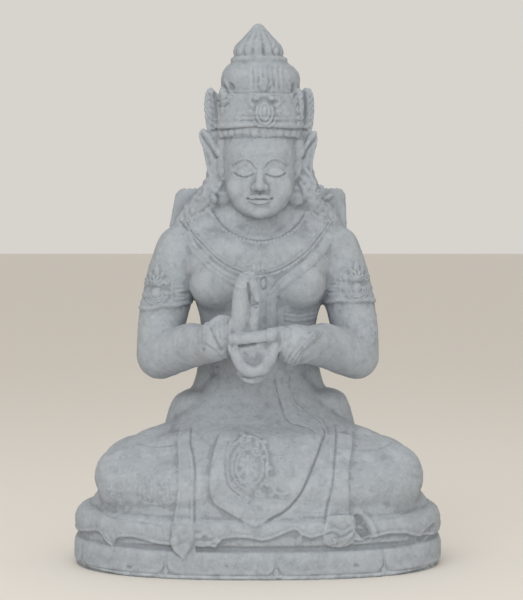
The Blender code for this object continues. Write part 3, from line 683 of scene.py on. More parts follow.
def carveFace(skin):
    mid, apart, wide = face["axis"], face["eyeApart"], face["eyeWide"]
    skin.back = -20
    for side in (-1, 1):
        cx, cz = mid + apart * side, face["eyeAt"]
        # high arched brow over a soft hollow, and a closed lid with its two lines
        brow = curve([(mid + 6 * side, 585), (mid + 13 * side, 594), (mid + 25 * side, 597),
                      (mid + 41 * side, 590)])
        ridge(skin, brow, 0.6, 1.7, 1.6)
        ridge(skin, [(x, z - 2.6) for x, z in brow], 0.4, -1.0, 1.6)
        hollow = curve([(cx - 10 * side, cz + 9), (cx + 2 * side, cz + 12), (cx + 15 * side, cz + 7)])
        ridge(skin, hollow, 1.2, -1.2, 4.5)
        crease = [(cx - (wide - 2) * side, cz + 3), (cx - 5 * side, cz + 7), (cx + 5 * side, cz + 7.4),
                  (cx + wide * side, cz + 3.5)]
        stroke(skin, crease, 0.3, -0.9, 1.2)
        lash = [(cx - wide * side, cz - 2.6), (cx - 6 * side, cz - 5.4), (cx + 2 * side, cz - 6.4),
                (cx + 9 * side, cz - 4.6), (cx + (wide + 3) * side, cz - 0.4)]
        stroke(skin, lash, 0.4, -2.8, 1.0)
        stroke(skin, [(x, z + 1.6) for x, z in lash], 0.5, 0.8, 0.9)
        # nostril and the wing of the nose
        gem(skin, mid + 4.6 * side, 549.4, 2.6, 1.6, -1.6)
        wing = curve([(mid + 13 * side, 551), (mid + 14 * side, 556), (mid + 11 * side, 560)])
        ridge(skin, wing, 0.4, -1.1, 1.4)
        # corner of the mouth, lifted a little
        gem(skin, mid + (face["mouthWide"] + 0.5) * side, face["mouthAt"] + 1.4, 2.4, 2.0, -2.0)
        ridge(skin, [(mid + 2.4 * side, 548), (mid + 2.6 * side, 543.5)], 0.5, 0.5, 1.0)
    w, m = face["mouthWide"], face["mouthAt"]
    parting = [(mid - w, m + 1.6), (mid - 10, m - 0.4), (mid - 4, m + 0.6), (mid, m - 0.4),
               (mid + 4, m + 0.6), (mid + 10, m - 0.4), (mid + w, m + 1.6)]
    full = [(mid - w + 3, m + 2.6), (mid - 6, m + 3.4), (mid, m + 2.8), (mid + 6, m + 3.4),
            (mid + w - 3, m + 2.6)]
    rope(skin, full, 2.8, 1.3)
    full = [(mid - w + 5, m - 1.4), (mid - 6, m - 3.6), (mid + 6, m - 3.6), (mid + w - 5, m - 1.4)]
    rope(skin, full, 3.4, 1.8)
    stroke(skin, parting, 0.4, -2.8, 1.0)
    upper = [(mid - w + 1, m + 2.6), (mid - 9, m + 5.2), (mid - 3.5, m + 6.8), (mid, m + 5.8),
             (mid + 3.5, m + 6.8), (mid + 9, m + 5.2), (mid + w - 1, m + 2.6)]
    stroke(skin, upper, 0.35, 0.9, 0.8)
    under = curve([(mid - 13, m - 4.6), (mid - 6, m - 8.6), (mid + 6, m - 8.6), (mid + 13, m - 4.6)])
    ridge(skin, under, 0.5, -1.2, 1.8)
    ridge(skin, [(mid, 548), (mid, 545)], 0.9, -0.8, 1.4)


collar = {
    "inner": [(-70, 528), (-66, 518), (-60, 508), (-50, 496), (-37, 487), (-18, 479), (2, 476),
              (20, 478), (34, 482), (48, 490), (59, 500), (67, 511), (73, 524)],
    "outer": [(-112, 506), (-104, 494), (-95, 480), (-83, 468), (-70, 455), (-53, 441), (-35, 431),
              (-18, 425.5), (2, 423), (20, 426), (36, 432), (56, 444), (76, 460), (93, 480),
              (102, 492), (110, 506)],
    "proud": 2.0,
}


def carveCollar(skin):
    skin.back = 60
    inner, outer = curve(collar["inner"], 4), curve(collar["outer"], 4)
    edge = outer + inner[::-1]
    at, rim = nearOutline(skin, edge, 4)
    ragged = 0.5 * np.sin(skin.x[at] / 2.1) + 0.5 * np.sin(skin.x[at] / 1.3 + skin.z[at] / 2)
    raiseBy(skin, at, collar["proud"] * ease(rim + ragged, -0.8, 1.2))
    ridge(skin, [(x, z + 1.8) for x, z in inner[3:-3]], 0.6, -1.6, 1.4)
    beads(skin, [(x, z - 2.4) for x, z in inner[3:-3]], 5.6, 2.6, 2.2)
    ridge(skin, [(x * 0.985, z + 4.5) for x, z in outer[2:-2]], 0.5, -2.1, 1.1)
    ridge(skin, [(x * 0.965, z + 9) for x, z in outer[2:-2]], 0.5, -0.9, 1.1)
    # hems of the bodice, which follow the collar down to the middle
    hem = curve([(104, 482), (98, 468), (86, 454), (68, 439), (50, 426), (36, 414), (26, 402), (21, 388),
                 (20, 342)])
    skin.back = 30
    ridge(skin, hem, 6.0, 1.8, 1.3)
    ridge(skin, [(x + 5, z - 2) for x, z in hem], 0.3, -0.8, 1.0)
    ridge(skin, [(x - 3, z) for x, z in hem[20:]], 0.3, -0.6, 1.0)
    twin = curve([(-104, 484), (-96, 468), (-82, 453), (-66, 439), (-52, 429), (-36, 420), (-20, 414)])
    ridge(skin, twin, 5.0, 1.2, 1.3)
    ridge(skin, twin, 0.4, -0.9, 1.0)
    # small upright leaves over the middle of the collar's edge, and a pendant below
    skin.back = 60
    for k in range(5):
        leaf(skin, -12 + 6.5 * k, 430 - abs(k - 2) * 0.5, 90, 17 - abs(k - 2) * 2.5, 5.6, 1.8)
    ridge(skin, oval(8.5, 414, 4.2, 9), 0.6, -1.8, 1.1)
    gem(skin, 8.5, 412, 2.2, 4.5, 1.6)
    # folded end of the shoulder cloth
    for k in range(3):
        stroke(skin, [(-118 + 9 * k, 530), (-114 + 9 * k, 516), (-116 + 8 * k, 500)], 1.0, 0.9, 1.8)
        stroke(skin, [(100 + 8 * k, 526), (104 + 6 * k, 512), (110 + 5 * k, 498)], 0.8, 0.7, 1.8)
    stroke(skin, [(-116, 506), (-108, 497), (-100, 492)], 0.8, -2.2, 1.4)
    # faint folds of the neck, and the bodice's lower hem under the left breast
    skin.back = 10
    for z in (486, 497):
        ridge(skin, [(3 + 30 * (k / 8 - 1), z + 9 * (k / 8 - 1) ** 2) for k in range(17)], 0.4, -0.5, 1.4)
    skin.back = 30
    for dz, high in ((3, -0.6), (-1, 0.7), (-7, 0.7), (-11, -0.6)):
        stroke(skin, [(40, 369 + dz), (62, 366 + dz), (90, 371 + dz)], 0.7, high, 1.8)


armband = {"right": (378, -0.28), "left": (386, 0.02), "tall": 24, "thick": 2.8}


def carveArms(skin):
    for side, (level, slope) in ((-1, armband["right"]), (1, armband["left"])):
        arm = (skin.x * side > 92) & (skin.z > 330) & (skin.z < 470) & (skin.y < 60)
        lower = level + slope * (skin.x * side - 140) * 0.4 + 1.2 * np.sin(skin.x / 6)
        up = skin.z - lower
        inner = ease(skin.x * side, 96, 103)
        lip = ease(up, -0.8, 0.8)
        top = armband["tall"] + 3 * np.sin(skin.x / 9)
        thinner = 1 - 0.75 * ease(up, 4, 10)
        skin.height += arm * inner * armband["thick"] * lip * thinner * (1 - ease(up, top, top + 4))
        for line, high in ((6, -0.9), (10.5, 0.8), (17, -0.8), (22, 0.7)):
            skin.height += arm * inner * high * plateau(up - line, 0.6, 1.2)
        skin.back = 40
        cx, cz = (146, 408) if side > 0 else (-150, 401)
        gem(skin, cx, cz, 7, 9, 2.8)
        for r in (10, 13.5, 17):
            ridge(skin, oval(cx, cz, r, r * 1.05, 190, 360), 0.7, 2.1, 1.0)
        for turn, long in ((90, 34), (64, 25), (116, 25), (38, 18), (142, 18)):
            leaf(skin, cx, cz + 9, turn, long, 9, 3.4)
        for k in (-1, 1):
            roll(skin, spiral(cx + k * 15, cz + 15, 5, 1.3, 90, -k), 1.6, 2.3)
        beads(skin, [(cx - 24 * side, cz - 12), (cx - 24 * side, cz + 14)], 4.6, 2.0, 1.8)
        for k in range(4):
            ridge(skin, [(cx - 40 * side, cz - 10 + 6 * k), (cx - 28 * side, cz - 10 + 6 * k)], 0.6, 1.5, 1.0)
    # small leaf on the left elbow
    for k, turn in enumerate((60, 90, 120)):
        leaf(skin, 170 + 3 * k, 326 + 8 * k, turn, 14, 8, 2.0)
    for x, z in ((152, 350), (157, 344), (150, 338)):
        gem(skin, x, z, 3, 3, 0.8)


def carveCuffs(skin):
    skin.back = -50
    # bracelets like broad leaves round the wrists
    right = curve([(-78, 352), (-72, 364), (-60, 373), (-48, 374), (-38, 366), (-37, 346), (-37, 328),
                   (-44, 310), (-62, 325), (-78, 335)], 4)
    left = curve([(34, 350), (60, 358), (92, 347), (78, 332), (64, 319), (58, 303), (38, 297), (30, 316),
                  (33, 336)], 4)
    for edge, height in ((right, 2.8), (left, 2.4)):
        at, rim = nearOutline(skin, edge, 4)
        raiseBy(skin, at, height * ease(rim, -1.0, 1.4))
        raiseBy(skin, at, -0.6 * plateau(rim - 4, 0.4, 1.2))
    stroke(skin, [(-52, 362), (-50, 344), (-50, 328)], 0.8, 1.5, 1.4)
    stroke(skin, [(-66, 352), (-60, 338), (-52, 322)], 0.6, -1.7, 1.4)
    beads(skin, curve([(-58, 358), (-56, 342), (-50, 324)]), 4.4, 2.0, 1.2)
    for k, (dx, high) in enumerate(((0, 2.1), (-6, 1.8), (-12, 1.3))):
        stroke(skin, [(86 + dx, 345 + k), (69 + dx, 330 + k), (56 + dx, 316), (48 + dx, 303)], 0.9, high, 1.2)
    stroke(skin, [(74, 346), (58, 334), (44, 314)], 0.5, -1.6, 1.4)
    beads(skin, curve([(83, 345), (66, 330), (53, 316), (45, 304)]), 4.2, 2.0, 1.3)
    # slot under the thumb, the shallow pouch below it, the bent finger and the gap at its tip
    skin.back = -120
    stroke(skin, [(-25, 328.5), (-15, 329.5), (-3, 331)], 0.9, -5.0, 1.8)
    stroke(skin, [(-8, 330.5), (3, 332), (13, 333.5)], 0.3, -2.6, 1.4)
    dish(skin, -6, 314, 17, 19, 0, -3.4)
    dish(skin, -17, 319, 6, 9, 20, -1.4)
    stroke(skin, [(-26, 285), (-18, 283.6), (-9, 283), (3, 285.6)], 0.5, -2.2, 1.3)
    stroke(skin, [(-13.5, 417), (-11.5, 404), (-10, 392)], 0.4, -2.6, 1.8)
    for x, z in ((-3, 389), (-2.5, 383)):
        dish(skin, x, z, 6.5, 2.4, 12, -3.4)


apron = {
    "outline": [(-52, 206), (-60, 184), (-66, 160), (-68, 136), (-66, 117), (-60, 105), (-45, 96), (-28, 86),
                (-15, 79), (-4, 75), (8, 80), (20, 88), (34, 95), (47, 106), (60, 122), (70, 142), (81, 166),
                (89, 186), (92, 204), (40, 224)],
    "proud": 3.0,
}


def carveApron(skin):
    skin.back = 10
    edge = curve(apron["outline"] + apron["outline"][:1], 4)[:-1]
    at, rim = nearOutline(skin, edge, 6)
    x, z = skin.x[at], skin.z[at]
    fade = 1 - ease(z, 190, 212)
    raiseBy(skin, at, apron["proud"] * ease(rim, -0.7, 0.9) * fade)
    # it swells like a pillow towards its lower edge, which is undercut on the left side of the body
    raiseBy(skin, at, 2.2 * ease(rim, 0, 10) * (1 - ease(rim, 14, 46)) * fade)
    raiseBy(skin, at, -2.2 * plateau(rim + 1.8, 0.5, 1.4) * fade * ease(x, -30, 20) * ease(z, 78, 90))
    # border on its other side only
    border = curve([(-42, 186), (-46, 172), (-46, 156), (-44, 138), (-38, 127), (-26, 118)])
    ridge(skin, border, 0.5, -1.1, 1.2)
    ridge(skin, [(a + 3.4, b + 1) for a, b in border], 0.5, 0.6, 1.2)
    # flowering vine
    rosette(skin, -14, 158, 13, 8, 2.4)
    rosette(skin, 20, 134, 10, 7, 1.9)
    for r, a, b in ((18, 100, 250), (24, 120, 260), (31, 130, 230), (20, -60, 40), (27, -50, 20)):
        ridge(skin, oval(-12, 156, r, r * 1.25, a, b), 0.5, 1.4, 1.1)
    stem = curve([(-32, 184), (-16, 194), (4, 188), (14, 170), (12, 150), (24, 124), (40, 120)])
    roll(skin, stem, 1.6, 1.6)
    for k, (a, b) in enumerate(stem[2:-2:2]):
        leaf(skin, a, b, 20 + 67 * k, 11, 6, 1.9)
    for a, b, r, way in ((34, 168, 6, 1), (46, 150, 5, -1), (-30, 134, 6, 1), (2, 120, 6, -1),
                         (-16, 112, 5, 1), (-2, 176, 6, -1), (-24, 174, 5, 1)):
        roll(skin, spiral(a, b, r, 1.4, 60 * r, way), 1.3, 1.5)
    leaf(skin, 44, 182, 20, 13, 6, 1.4)
    # cloth that comes down from the hands and turns along the apron's edge
    cloth = curve([(35, 278), (40, 252), (49, 232), (66, 219), (86, 209), (92, 196)])
    skin.back = 30
    ridge(skin, cloth, 8.2, 1.8, 1.6)
    stroke(skin, [(25, 271), (35, 232), (46, 215), (74, 206)], 0.4, -1.2, 1.6)
    stroke(skin, [(45, 269), (52, 238), (72, 225), (90, 213), (97, 200)], 0.4, -1.0, 1.4)
    # belt line over the belly
    skin.back = 20
    stroke(skin, [(-86, 218), (-60, 213), (-20, 212)], 0.4, -0.5, 1.6)


sashes = {"proud": 2.4, "edge": 0.9}


def carveSashes(skin):
    skin.back = 20
    left = [(-110, 214), (-116, 192), (-113, 166), (-113, 117), (-117, 92), (-121, 72), (-121, 47),
            (-118, 42), (-105, 28), (-95, 44), (-90, 60), (-91, 92), (-90, 150), (-93, 170), (-98, 186),
            (-98, 214)]
    right = [(114, 218), (115, 196), (112, 170), (107, 130), (99, 96), (96, 78), (92, 62), (100, 48),
             (118, 44), (134, 58), (134, 78), (129, 92), (129, 150), (135, 178), (138, 202), (136, 218)]
    for edge, crack in ((left, 1), (right, -1)):
        at, rim = nearOutline(skin, edge, 6)
        fade = 1 - ease(skin.z[at], 196, 214)
        soft = 1 - 0.7 * (1 - ease(skin.z[at], 66, 90)) * (skin.x[at] > 0)
        raiseBy(skin, at, sashes["proud"] * soft * ease(rim, -sashes["edge"], sashes["edge"]) * fade)
        raiseBy(skin, at, -0.7 * plateau(rim - 5, 0.4, 1.0) * fade * (skin.z[at] > 84) * (skin.x[at] < 0))
        # a thin shadow line along its inner edge
        inner = ease((skin.x[at] - np.mean([p[0] for p in edge])) * crack, -2, 4)
        raiseBy(skin, at, -1.7 * plateau(rim + 1.6, 0.4, 1.2) * fade * inner * ease(skin.z[at], 76, 84))
    # stud of the one end, gathered folds of the other
    gem(skin, -117, 54, 5.5, 6, 2.4)
    stroke(skin, [(-111, 60), (-106, 52), (-97, 59)], 0.5, -0.8, 1.4)
    stroke(skin, [(99, 71), (108, 74), (119, 70), (131, 76)], 0.5, -1.2, 2.4)
    stroke(skin, [(95, 63), (106, 66), (118, 60), (133, 68)], 0.5, -1.8, 2.2)
    roll(skin, spiral(107, 55, 7, 1.2, 60, 1), 2.2, 1.8)
    rope(skin, [(114, 54), (122, 58), (132, 63)], 3.4, 1.6)
    # pushed-up cloth beside the one end, and a deep pocket beside the other
    for x, z, r, high in ((-83, 62, 5.5, 2.6), (-74, 66, 5, 2.0), (-66, 62, 4, 1.8), (-80, 51, 6, 2.4),
                          (-69, 52, 5, 2.8), (-58, 55, 5.5, 2.2), (-60, 46, 4, 1.8), (-75, 45, 4, 1.4)):
        gem(skin, x, z, r * 1.2, r * 0.8, high)
    dish(skin, 149, 70.5, 24, 10.5, -61, -10.5, 0.55)
    rope(skin, [(147, 90), (161, 78), (168, 58)], 3.4, 1.6)


skirt = {"folds": 0.35, "flowers": 0.75}


def carveSkirt(skin):
    skin.back = 0
    # hem that lies on the plinth, and the long shallow folds over knees and shins
    stroke(skin, [(-236, 90), (-214, 83), (-186, 79), (-150, 76), (-138, 74)], 0.5, -1.2, 1.4)
    stroke(skin, [(140, 78), (176, 80), (206, 84), (236, 92)], 0.5, -0.8, 1.6)
    stroke(skin, [(-176, 184), (-150, 181), (-124, 183)], 0.5, -1.0, 1.3)
    stroke(skin, [(154, 176), (176, 177), (200, 186)], 0.5, -1.0, 1.3)
    at = near(skin, [(-240, 70), (240, 200)], 0)
    x, z = skin.x[at], skin.z[at]
    flow = z + 0.0004 * x ** 2 + 5 * np.sin(x / 31)
    away = ease(np.abs(x + 2), 60, 110) * ease(z, 72, 90) * (1 - ease(z, 176, 200))
    waves = np.cos(flow * 2 * math.pi / 17) + 0.5 * np.cos(flow * 2 * math.pi / 7.5 + x / 40)
    raiseBy(skin, at, skirt["folds"] * away * waves * (0.6 + 0.4 * swell(x, z, z, 60, 4)))
    # pleats between apron and sash
    pleats = plateau(x - 80, 14, 10) * ease(z, 76, 84) * (1 - ease(z, 92, 108))
    raiseBy(skin, at, 0.4 * pleats * np.cos(z * 2 * math.pi / 5.5 + x / 20))
    # woven flowers on the thighs, worn faint
    for cx, cz, r, clear in ((-145, 120, 17, 1.0), (-206, 112, 12, 0.8), (-180, 150, 10, 0.3),
                             (178, 122, 14, 0.45), (210, 110, 10, 0.35), (192, 150, 10, 0.3)):
        high = skirt["flowers"] * clear
        rosette(skin, cx, cz, r * 0.66, 7, 1.7 * high)
        for k in range(4):
            turn = 40 + 90 * k
            c, s = heading(turn)
            roll(skin, spiral(cx + c * r, cz + s * r, r * 0.36, 1.2, turn, 1 - 2 * (k % 2)), 1.4, 1.5 * high)
            leaf(skin, cx + s * r * 0.5, cz + c * r * 0.5, turn - 45, r * 0.6, 5, 1.4 * high)
    # frame of short bars round the one flower that is still crisp
    for dx, dz, turn in ((-20, 0, 90), (20, 0, 90), (0, 21, 0), (0, -20, 0)):
        for k in (-1, 1):
            c, s = heading(turn)
            spot = (-145 + dx + 3 * k * s, 120 + dz + 3 * k * c)
            ridge(skin, [(spot[0] - 8 * c, spot[1] - 8 * s), (spot[0] + 8 * c, spot[1] + 8 * s)], 0.5, 0.8,
                  1.0)


plinth = {
    "petals": 9, "crowd": 0.08,  # how many in the lower ring, and how much closer they stand at the front
    "turn": 0.168,  # turns the ring, as a share of a petal
    "gap": 0.0045, "cornerRadius": 0.015, "deep": 2.8, "wornEnds": 10,
    # lower edge of the upper ring: length from the front middle in metres, height on the grid
    "edge": [(-0.36, 45), (-0.318, 50), (-0.278, 55), (-0.2515, 59), (-0.242, 57), (-0.233, 49),
             (-0.2250, 42), (-0.220, 40), (-0.2175, 45), (-0.211, 52.5), (-0.200, 55), (-0.182, 56),
             (-0.165, 52.5), (-0.150, 49), (-0.132, 47), (-0.10, 47), (-0.088, 46), (-0.060, 46),
             (-0.050, 57.5), (-0.032, 60), (-0.011, 59), (0.006, 55), (0.020, 58), (0.035, 64.5),
             (0.0504, 71), (0.056, 70), (0.062, 63), (0.077, 58.5), (0.094, 63), (0.15, 52), (0.168, 56),
             (0.194, 60), (0.224, 58), (0.245, 51.5), (0.262, 50), (0.30, 48), (0.36, 46)],
}


def alongPlan(skin):
    # length round the oval plan, 0 at the front middle, growing to +X, in metres
    a, b = plinthHalf
    angle = np.linspace(-math.pi, math.pi, 1441)
    c, s = np.sin(angle), -np.cos(angle)
    px = np.sign(c) * np.abs(c) ** (2 / plinthRound) * a
    py = np.sign(s) * np.abs(s) ** (2 / plinthRound) * b
    length = np.concatenate([[0], np.cumsum(np.hypot(np.diff(px), np.diff(py)))])
    polar = np.unwrap(np.arctan2(px / a, -py / b))
    middle = np.interp(0, polar, length)
    where = np.arctan2(skin.x * unit / a, -skin.y * unit / b)
    return np.interp(where, polar, length) - middle, length[-1]


def carvePlinth(skin):
    s, total = alongPlan(skin)
    z = skin.z * unit * (plinthHeight / (seatLevel * unit))
    outer = skin.nz < 0.97
    # petals of the lower ring, a little narrower at the front
    turns = plinth["petals"] * s / total + plinth["crowd"] * np.sin(2 * math.pi * s / total) - plinth["turn"]
    step = total / plinth["petals"]
    t = (turns % 1.0) * step
    gap = np.minimum(t, step - t)  # distance from the nearest gap between two petals
    low = (z < 0.040) & outer
    half = step / 2 - plinth["gap"] / 2
    u = half - (gap - plinth["gap"] / 2)
    r = plinth["cornerRadius"]
    corner = np.hypot(np.clip(u - (half - r), 0, None), np.clip(0.0070 + r - z, 0, None))
    panel = np.minimum(half - u, r - corner)
    panel = np.minimum(panel, z - 0.0070)
    depth = (1 - ease(panel, -0.0006, 0.0012)) * ease(z, 0.0055, 0.0068)
    strip = ease(0.0016 - np.abs(gap), -0.0004, 0.0006) * ease(z, 0.012, 0.015)
    skin.height -= low * plinth["deep"] * depth * (1 - 0.55 * strip) * (1 - 0.6 * ease(z, 0.016, 0.036))
    tip = plateau(np.hypot(gap, (z - 0.0105) * 0.8), 0.003, 0.0015)
    skin.height += low * 1.6 * tip
    # the foot is worn round at both ends
    worn = 2.0 + plinth["wornEnds"] * ease(np.abs(skin.x), 185, 262)
    drop = np.clip(worn - skin.z, 0, None)
    cut = worn - np.sqrt(np.clip(worn ** 2 - drop ** 2, 0, None))
    skin.height -= (skin.z < 16) * outer * cut * (skin.nz > -0.9)
    # lower edge of the drooping petals, by its height along the front, and even petals elsewhere
    keys = plinth["edge"]
    dips = 9 * np.abs(np.cos(math.pi * (s - 0.05) / (step * 1.3))) ** 6
    tips = 8 * np.exp(-((s % 0.31 - 0.15) / 0.012) ** 2)
    even = 57 - dips + tips
    away = ease(np.abs(s), 0.30, 0.36)
    edge = np.interp(s, *zip(*keys)) * (1 - away) + even * away
    high = (skin.z > 39.5) & (skin.z < 92) & outer & (np.abs(skin.x * unit) + np.abs(skin.y * unit) > 0.12)
    bowed = 44 + 6 * ((s - 0.117) / 0.022) ** 2
    ends = plateau(s + 0.1056, 0.0165, 0.001) * (skin.z > 27)
    ends = ends + plateau(s - 0.117, 0.022, 0.002) * ease(skin.z - bowed, -0.6, 0.6)
    ends = np.clip(ends, 0, 1)
    under = (1 - ease(skin.z - edge, -0.9, 1.1)) * (1 - ends)
    skin.height -= high * (2.6 + 1.6 * ease(s, 0.1, 0.2)) * under * ease(skin.z, 39.5, 42)
    skin.height += high * 0.9 * plateau(skin.z - edge - 2.4, 1.2, 1.6) * (1 - ends)
    skin.height -= high * 0.5 * plateau(skin.z - edge - 5.8, 0.5, 1.2) * (1 - ends)
    # the groove is deepest in front
    groove = outer * 2.6 * plateau(skin.z - 43, 3.2, 1.2) * (1 - ends)
    skin.height -= groove * ease(s, -0.22, -0.15) * (1 - ease(s, 0.20, 0.25))
    # curled leaf at its left end
    u, v = (s - 0.276) * 1000 / 19, (skin.z - 54.5) / 9.5
    curl = np.hypot(u * 0.9 - v * 0.25, v * 0.95 - u * 0.35)
    skin.height += high * (1.2 * plateau(curl - 1.1, 0.06, 0.12) - 3.4 * (1 - ease(curl, 0.35, 1.0)))
    skin.back = -60
    leaf(skin, 56, 47, 72, 20, 9, 2.0)
    leaf(skin, -222, 60, 305, 26, 8, 1.6)


def carveBack(skin):
    # hidden sides are plainer: a belt, the hem of the panel and a few long folds
    rear = ease(skin.ny, 0.1, 0.5)
    for z in (506, 512):
        skin.height -= rear * 0.9 * plateau(skin.z - z, 0.6, 1.2) * (np.abs(skin.x - 2) < 128)
    for level in (196, 204):
        skin.height += rear * 1.0 * plateau(skin.z - level, 1.0, 2.0) * (np.abs(skin.x) < 146)
    fan = np.arctan2(skin.x - 2, 240 - skin.z)  # folds fan out from the middle of the hips
    fold = np.sin(fan * 15 + 0.02 * skin.z) * (0.7 + 0.3 * swell(skin.x, skin.y, skin.z, 70, 9))
    skin.height += rear * 0.7 * fold * ease(skin.z, 92, 130) * (1 - ease(skin.z, 160, 184))


def carveHollows(skin):
    # damage and casting pits: small holes, a worn and chipped foot
    skin.back = 30
    for x, z, r, deep in ((-183, 13, 2.6, 2.6), (140, 19, 3.0, 1.6), (-61, 292, 2.0, 1.6),
                          (106, 258, 2.0, 1.4), (-196, 94, 4, 1.0), (-78, 322, 2, 1.4), (120, 372, 2, 1.2),
                          (-30, 262, 2, 1.2), (-44, 20, 2, 1.2), (60, 300, 1.6, 1.2), (-150, 350, 1.6, 1.0),
                          (90, 460, 1.6, 1.0)):
        gem(skin, x, z, r * 1.5, r, -deep)
    foot = (skin.z < 12) & (skin.nz < 0.7) & (skin.nz > -0.9)
    rough = swell(skin.x, skin.y, skin.z, 22, 5) + 0.6 * swell(skin.x, skin.y, skin.z, 9, 6)
    skin.height -= foot * 1.1 * np.clip(rough - 0.2, 0, 2) * (1 - ease(skin.z, 3, 10))
    uneven = 0.6 * swell(skin.x, skin.y, skin.z, 46, 1) + 0.5 * swell(skin.x, skin.y, skin.z, 19, 2)
    uneven += 0.5 * swell(skin.x, skin.y, skin.z, 8, 3)
    skin.height += carving["chisel"] * uneven * (skin.z > 2)


def carve(obj):
    points, normals = pointsOf(obj.data), pointsOf(obj.data, "normal")
    # back is how far back a motif may reach, which every job sets for its own
    skin = SimpleNamespace(x=points[:, 0] / unit, y=points[:, 1] / unit,
                           z=(points[:, 2] - plinthHeight) / unit + seatLevel,
                           ny=normals[:, 1], nz=normals[:, 2], height=np.zeros(len(points)), back=999)
    skin.front = ease(-skin.ny, 0.02, 0.30)
    for job in (carveCrown, carveHair, carveEars, carveFace, carveCollar, carveArms, carveCuffs, carveApron,
                carveSashes, carveSkirt, carvePlinth, carveBack, carveHollows):
        job(skin)
    movePoints(obj.data, points + normals * (skin.height * unit * carving["relief"])[:, None])
    print("carved", len(points), "points")


def keepInside(obj, low, high):
    # nothing stands past the CAD box, and the underside is flat on the floor
    movePoints(obj.data, np.clip(pointsOf(obj.data), np.array(low), np.array(high)))


def finishSkin(obj):
    bm = bmesh.new()
    bm.from_mesh(obj.data)
    # only the outer skin is kept
    left, shells = set(bm.verts), []
    while left:
        shell, stack = [], [left.pop()]
        while stack:
            vert = stack.pop()
            shell.append(vert)
            for edge in vert.link_edges:
                other = edge.other_vert(vert)
                if other in left:
                    left.remove(other)
                    stack.append(other)
        shells.append(shell)
    shells.sort(key=len)
    for shell in shells[:-1]:
        bmesh.ops.delete(bm, geom=shell, context="VERTS")
    cut = bmesh.ops.bisect_plane(bm, geom=bm.verts[:] + bm.edges[:] + bm.faces[:], dist=1e-5,
                                 plane_co=(0, 0, 0.0008), plane_no=(0, 0, -1), clear_outer=True)
    rim = [g for g in cut["geom_cut"] if isinstance(g, bmesh.types.BMEdge)]
    bmesh.ops.holes_fill(bm, edges=rim, sides=0)
    for vert in {v for edge in rim for v in edge.verts}:
        vert.co.z = 0.0
    bmesh.ops.triangulate(bm, faces=bm.faces[:])
    bmesh.ops.recalc_face_normals(bm, faces=bm.faces[:])
    bm.to_mesh(obj.data)
    bm.free()
    now = len(obj.data.polygons)
    if now > carving["faces"]:
        fewer = obj.modifiers.new("fewer", "DECIMATE")
        fewer.ratio = carving["faces"] / now
        fewer.use_collapse_triangulate = True
        bakeModifiers(obj)
    print("finished skin:", len(obj.data.polygons), "triangles")


def storeHollowsForShadeAndWear(obj):
    # how hollow or proud each point is, kept on the mesh for the stone's dirt and painted shade in the
    # hollows and its worn, pale edges, partly a painted highlight
    mesh = obj.data
    points, normals = pointsOf(mesh), pointsOf(mesh, "normal")
    count = len(points)
    ends = np.empty(len(mesh.edges) * 2, int)
    mesh.edges.foreach_get("vertices", ends)
    a, b = ends.reshape(-1, 2).T
    degree = np.bincount(a, minlength=count) + np.bincount(b, minlength=count)

    def blur(values, rounds):
        for _ in range(rounds):
            total = np.bincount(a, values[b], count) + np.bincount(b, values[a], count)
            values = 0.5 * values + 0.5 * total / np.maximum(degree, 1)
        return values

    names = (("hollowFine", 5, 0.0005), ("hollowBroad", 60, 0.0035))
    for name, rounds, size in names:
        smooth = np.stack([blur(points[:, k], rounds) for k in range(3)], axis=1)
        depth = np.einsum("ij,ij->i", smooth - points, normals) / size
        layer = mesh.attributes.new(name, "FLOAT", "POINT")
        layer.data.foreach_set("value", np.clip(blur(depth, 2), -1, 1).astype(np.float32))


# Stone


# the pale colour serves dust, pale grain and worn edges, and also the painted highlight on proud edges
stone = {
    "light": (0.362, 0.394, 0.430), "mid": (0.338, 0.366, 0.400), "dark": (0.175, 0.190, 0.207),
    "green": (0.330, 0.362, 0.374), "paleDustAndHighlight": (0.50, 0.535, 0.565), "roughness": (0.82, 0.97),
}


